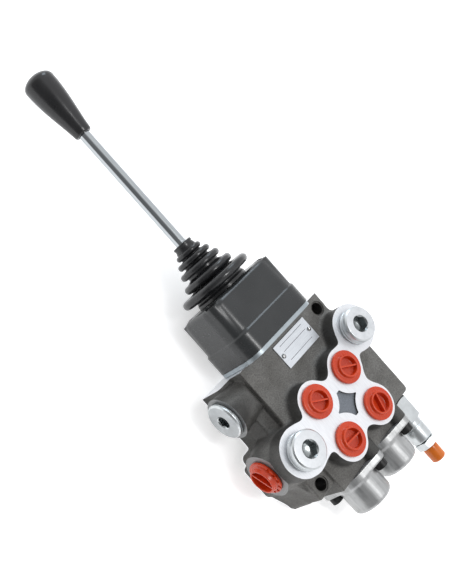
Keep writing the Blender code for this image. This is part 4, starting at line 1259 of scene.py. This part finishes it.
# Each fold's height and radius from the top down, and those of the valley under it.
FOLDS = ((140.0, 9.8), (134.9, 12.9), (128.8, 15.8), (120.9, 19.4), (113.9, 27.0))
VALLEYS = ((137.4, 7.4), (131.8, 9.4), (124.9, 12.0), (117.6, 15.8), (110.4, 18.6))
LIP_THICKNESS = (1.9, 2.1, 2.4, 2.7, 3.0)
# The valley that rides on the gimbal, where the gaiter is split.
RING = 3
GAITER_TOP_Y = 147.0
SKIN = 1.2


def bellows(name, outer, inner):
    """A thin turned skin between an outer and an inner profile, both of which run down the lever."""
    profile = list(outer) + list(reversed(inner))
    return lathe(name, profile, (0, 0, LEVER_Z), ALONG_Y, RUBBER, 96, ring=True, smooth=60.0, segments=5)


def lobe(y, radius, thick, valley_r):
    """The round lip of one fold, from above to below."""
    points = []
    centre_r = radius - thick
    for step in range(11):
        angle = math.pi * (0.5 - step / 10) * 1.12
        points.append((centre_r + thick * math.cos(angle), y + thick * math.sin(angle)))
    neck = max(centre_r - thick * 0.9, valley_r + 0.3)
    return [(neck, y + thick * 0.92)] + points + [(neck, y - thick * 0.92)]


def add_folds(first, last, outer, inner):
    """Adds folds first to last, and the valleys between them, to the skin's outer and inner profiles."""
    for i in range(first, last + 1):
        y, radius = FOLDS[i]
        thick = LIP_THICKNESS[i]
        outer += lobe(y, radius, thick, VALLEYS[i][1])
        inner.append((max(radius - 2 * thick - 0.4, 4.6), y))
        if i < last:
            valley_y, valley_r = VALLEYS[i]
            outer.append((valley_r, valley_y, 0.4))
            inner.append((valley_r - SKIN, valley_y))


def gaiter_length(name, outer, inner, start_y, end_y):
    """One length of the gaiter, turned between its outer and inner profiles; start_y and end_y are not
    used.
    """
    skin = bellows(name, outer, inner)
    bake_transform(skin)
    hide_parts("gaiter")


def make_gaiter():
    """The upper folds run from the gimbal's valley up to the lever, and the foot from the box up to that
    valley.
    """
    ring_y, ring_r = VALLEYS[RING]
    cuff_y = GAITER_TOP_Y - 2.0
    outer = [(6.8, GAITER_TOP_Y), (7.2, GAITER_TOP_Y - 0.5), (7.2, cuff_y + 0.6), (6.7, cuff_y)]
    inner = [(4.5, GAITER_TOP_Y), (4.5, 143.6)]
    add_folds(0, RING, outer, inner)
    outer.append((ring_r, ring_y))
    inner.append((ring_r - SKIN, ring_y))
    gaiter_length("gaiter_folds", outer, inner, ring_y, 143.0)

    foot_y = BOX_TOP_Y + 0.3
    waist_y, waist_r = VALLEYS[-1]
    outer, inner = [(ring_r, ring_y)], [(ring_r - SKIN, ring_y)]
    add_folds(RING + 1, RING + 1, outer, inner)
    outer += [(waist_r, waist_y, 0.4), (18.8, 109.2, 0.3), (19.6, 108.2, 0.4), (19.6, foot_y)]
    inner += [(waist_r - SKIN, waist_y), (17.4, 108.8, 0.4), (17.6, foot_y)]
    gaiter_length("gaiter_foot", outer, inner, foot_y, ring_y)


make_gaiter()


def make_lever():
    low, high = node_box("lever_rod")
    length = high.y - low.y
    radius = (high.x - low.x) / 2
    profile = ((0, length), (radius, length, 0.6), (radius, 0, 0.6), (0, 0))
    lever = lathe("bright_lever_rod", profile, (0, low.y, LEVER_Z), ALONG_Y, ROD)
    piece(lever, "lever", "zinc_steel", "lever_rod")
    knob_low, knob_high = node_box("lever_knob")
    height = knob_high.y - knob_low.y
    wide = (knob_high.x - knob_low.x) / 2
    profile = [(0, height)]
    dome = 6.5
    for i in range(1, 9):
        angle = math.pi / 2 * i / 8
        profile.append((wide * math.sin(angle), height - dome + dome * math.cos(angle)))
    for share in (0.93, 0.86, 0.78, 0.7, 0.6, 0.5, 0.4, 0.3, 0.2, 0.1):
        swell = math.sin(share * math.pi / 2) ** 1.35
        profile.append((6.2 + (wide - 6.2) * swell, (height - dome) * share))
    profile += [(6.3, 1.4), (6.0, 0.6, 0.4), (5.4, 0.0, 0.3), (4.3, 0.0), (4.3, 21.5), (0, 23.0)]
    foot = (0, knob_low.y, LEVER_Z)
    knob = lathe("moulded_lever_knob", profile, foot, ALONG_Y, KNOB_PLASTIC, 96, smooth=50.0)
    piece(knob, "lever", "black_plastic", "lever_knob")


make_lever()


# ---------------------------------------------------------------- springs


# How far the pitch is tightened at a spring's two ends, as a share of its mean pitch.
CLOSED_ENDS = 0.4


def wound_wire(name, base, axis, coil_r, wire_r, turns, start, end):
    """A closed-end spring from base along axis, or its stretch between two shares of its length."""
    axis = Vector(axis)
    length = axis.length
    place = np.array(at(base) @ toward(axis))
    steps, sides = round(28 * turns * (end - start)), 10
    points = []
    for i in range(steps + 1):
        share = start + (end - start) * i / steps
        angle = 2 * math.pi * turns * share
        rise = share - CLOSED_ENDS * math.sin(2 * math.pi * share) / (2 * math.pi)
        height = wire_r + (length - 2 * wire_r) * rise
        for side in range(sides):
            around = 2 * math.pi * side / sides
            radius = coil_r + wire_r * math.cos(around)
            points.append(
                (radius * math.cos(angle), radius * math.sin(angle), height + wire_r * math.sin(around))
            )
    faces = [tuple(range(sides)), tuple(reversed(range(steps * sides, (steps + 1) * sides)))]
    for i in range(steps):
        for side in range(sides):
            following = (side + 1) % sides
            row, further = i * sides, (i + 1) * sides
            faces.append((row + side, row + following, further + following, further + side))
    points = np.array(points) @ place[:3, :3].T + place[:3, 3]
    return new_object(name, points, facing_out(points, faces), GROUND)


def make_spring(node, along, wire_r, turns, lengths):
    """The spring in a CAD node's box, as (name, bodies, first share, last share) lengths."""
    low, high = node_box(node)
    across = (along + 1) % 3
    base, tip = (low + high) / 2, (low + high) / 2
    base[along], tip[along] = low[along], high[along]
    coil_r = (high[across] - low[across]) / 2 - wire_r
    for name, bodies, start, end in lengths:
        spring = wound_wire(name, base, tip - base, coil_r, wire_r, turns, start, end)
        ends = [tuple(base.lerp(tip, share) * MM) for share in (start, end)]
        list(bodies)
        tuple(ends[0])
        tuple(ends[1])
        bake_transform(spring)
        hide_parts(node)


def make_springs():
    """Winds each spring in its CAD node's box, the relief spring in two lengths."""
    for side in ("left", "right"):
        bodies = (f"spool_{side}_section", "root")
        whole = (f"wound_centring_spring_{side}", bodies, 0.0, 1.0)
        make_spring(f"centring_spring_{side}", 1, 0.9, 4.5, [whole])
    make_spring(
        "relief_spring",
        1,
        0.7,
        11,
        [
            ("relief_spring_rear", ("relief_spring_carrier", "root"), 0.0, 0.5),
            ("relief_spring_front", ("root", "relief_cone"), 0.5, 1.0),
        ],
    )
    make_spring("check_spring", 0, 0.6, 5, [("wound_check_spring", ("load_check", "root"), 0.0, 1.0)])


make_springs()


# ---------------------------------------------------------------- inner pieces

SLOT_FINISHES = {
    "cast_body": CAST,
    "die_cast_aluminium": ALUMINIUM,
    "label_metal": LABEL,
    "zinc_steel": ZINC,
    "ground_steel": GROUND,
    "black_steel": BLACK_STEEL,
    "orange_plastic": ORANGE,
    "black_plastic": HOUSING_PLASTIC,
    "black_rubber": RUBBER,
    "brass": BRASS,
}

for entry in frame["record"]["subparts"]:
    node_object = frame["nodes"][entry["node"]]
    node_object.data.materials.clear()
    node_object.data.materials.append(SLOT_FINISHES[entry["material_slot"]])


# ---------------------------------------------------------------- studio


def make_floor():
    white = (1.0, 1.0, 1.0, 1.0)
    paper = Finish("pale_paper", Roughness=0.9, Emission_Color=white, Emission_Strength=0.5)
    paper.colour(paper.ramp(paper.noise(60.0, 2.0), (0.3, 0.90), (0.7, 0.93)))
    mesh = bmesh.new()
    bmesh.ops.create_grid(mesh, x_segments=8, y_segments=8, size=4.0)
    data = bpy.data.meshes.new("floor")
    mesh.to_mesh(data)
    mesh.free()
    floor = bpy.data.objects.new("floor", data)
    floor.location.z = -0.0005
    data.materials.append(paper.material)
    bpy.context.scene.collection.objects.link(floor)


def make_world():
    """An even pale studio, dim only on the side that nobody lights."""
    world = bpy.data.worlds.new("studio")
    world.use_nodes = True
    tree = world.node_tree
    background = tree.nodes["Background"]
    place = tree.nodes.new("ShaderNodeTexCoord")
    dot = tree.nodes.new("ShaderNodeVectorMath")
    dot.operation = "DOT_PRODUCT"
    dot.inputs[1].default_value = (-0.78, 0.03, 0.62)
    ramp = tree.nodes.new("ShaderNodeValToRGB")
    greys = ((0.0, 1.0), (0.6, 1.0), (0.78, 0.36), (0.95, 0.22))
    fill_ramp(ramp, [(position, (grey, grey * 1.005, grey * 1.02)) for position, grey in greys])
    tree.links.new(place.outputs["Generated"], dot.inputs[0])
    tree.links.new(dot.outputs["Value"], ramp.inputs["Fac"])
    tree.links.new(ramp.outputs["Color"], background.inputs["Color"])
    background.inputs["Strength"].default_value = 1.0
    bpy.context.scene.world = world


def make_light(name, towards, distance, size, power, tint=(1.0, 1.0, 1.0)):
    """A soft box that faces the middle of the valve."""
    data = bpy.data.lights.new(name, "AREA")
    data.shape = "RECTANGLE"
    data.size, data.size_y = size
    data.energy = power
    data.color = tint
    light = bpy.data.objects.new(name, data)
    direction = Vector(towards).normalized()
    centre = Vector((0, 0.06, 0.03))
    light.location = centre + direction * distance
    light.rotation_euler = direction.to_track_quat("Z", "Y").to_euler()
    bpy.context.scene.collection.objects.link(light)


def make_camera():
    data = bpy.data.cameras.new("camera")
    data.lens = 52.49
    data.sensor_width = 36.0
    data.clip_start = 0.01
    camera = bpy.data.objects.new("camera", data)
    camera.matrix_world = Matrix(
        (
            (0.594423, 0.568000, -0.569243, -0.3168),
            (-0.663179, 0.746619, 0.052476, 0.1334),
            (0.454814, 0.346317, 0.820493, 0.4872),
            (0, 0, 0, 1),
        )
    )
    bpy.context.scene.collection.objects.link(camera)
    bpy.context.scene.camera = camera


make_floor()
make_world()
make_light("window", (0.52, 0.71, 0.47), 1.4, (0.35, 0.7), 3.6, (0.75, 0.88, 1.0))
make_light("overhead_strip", (0.05, -0.16, 0.98), 1.3, (0.14, 0.5), 4.2)
make_camera()
bpy.context.scene.view_settings.view_transform = "Standard"
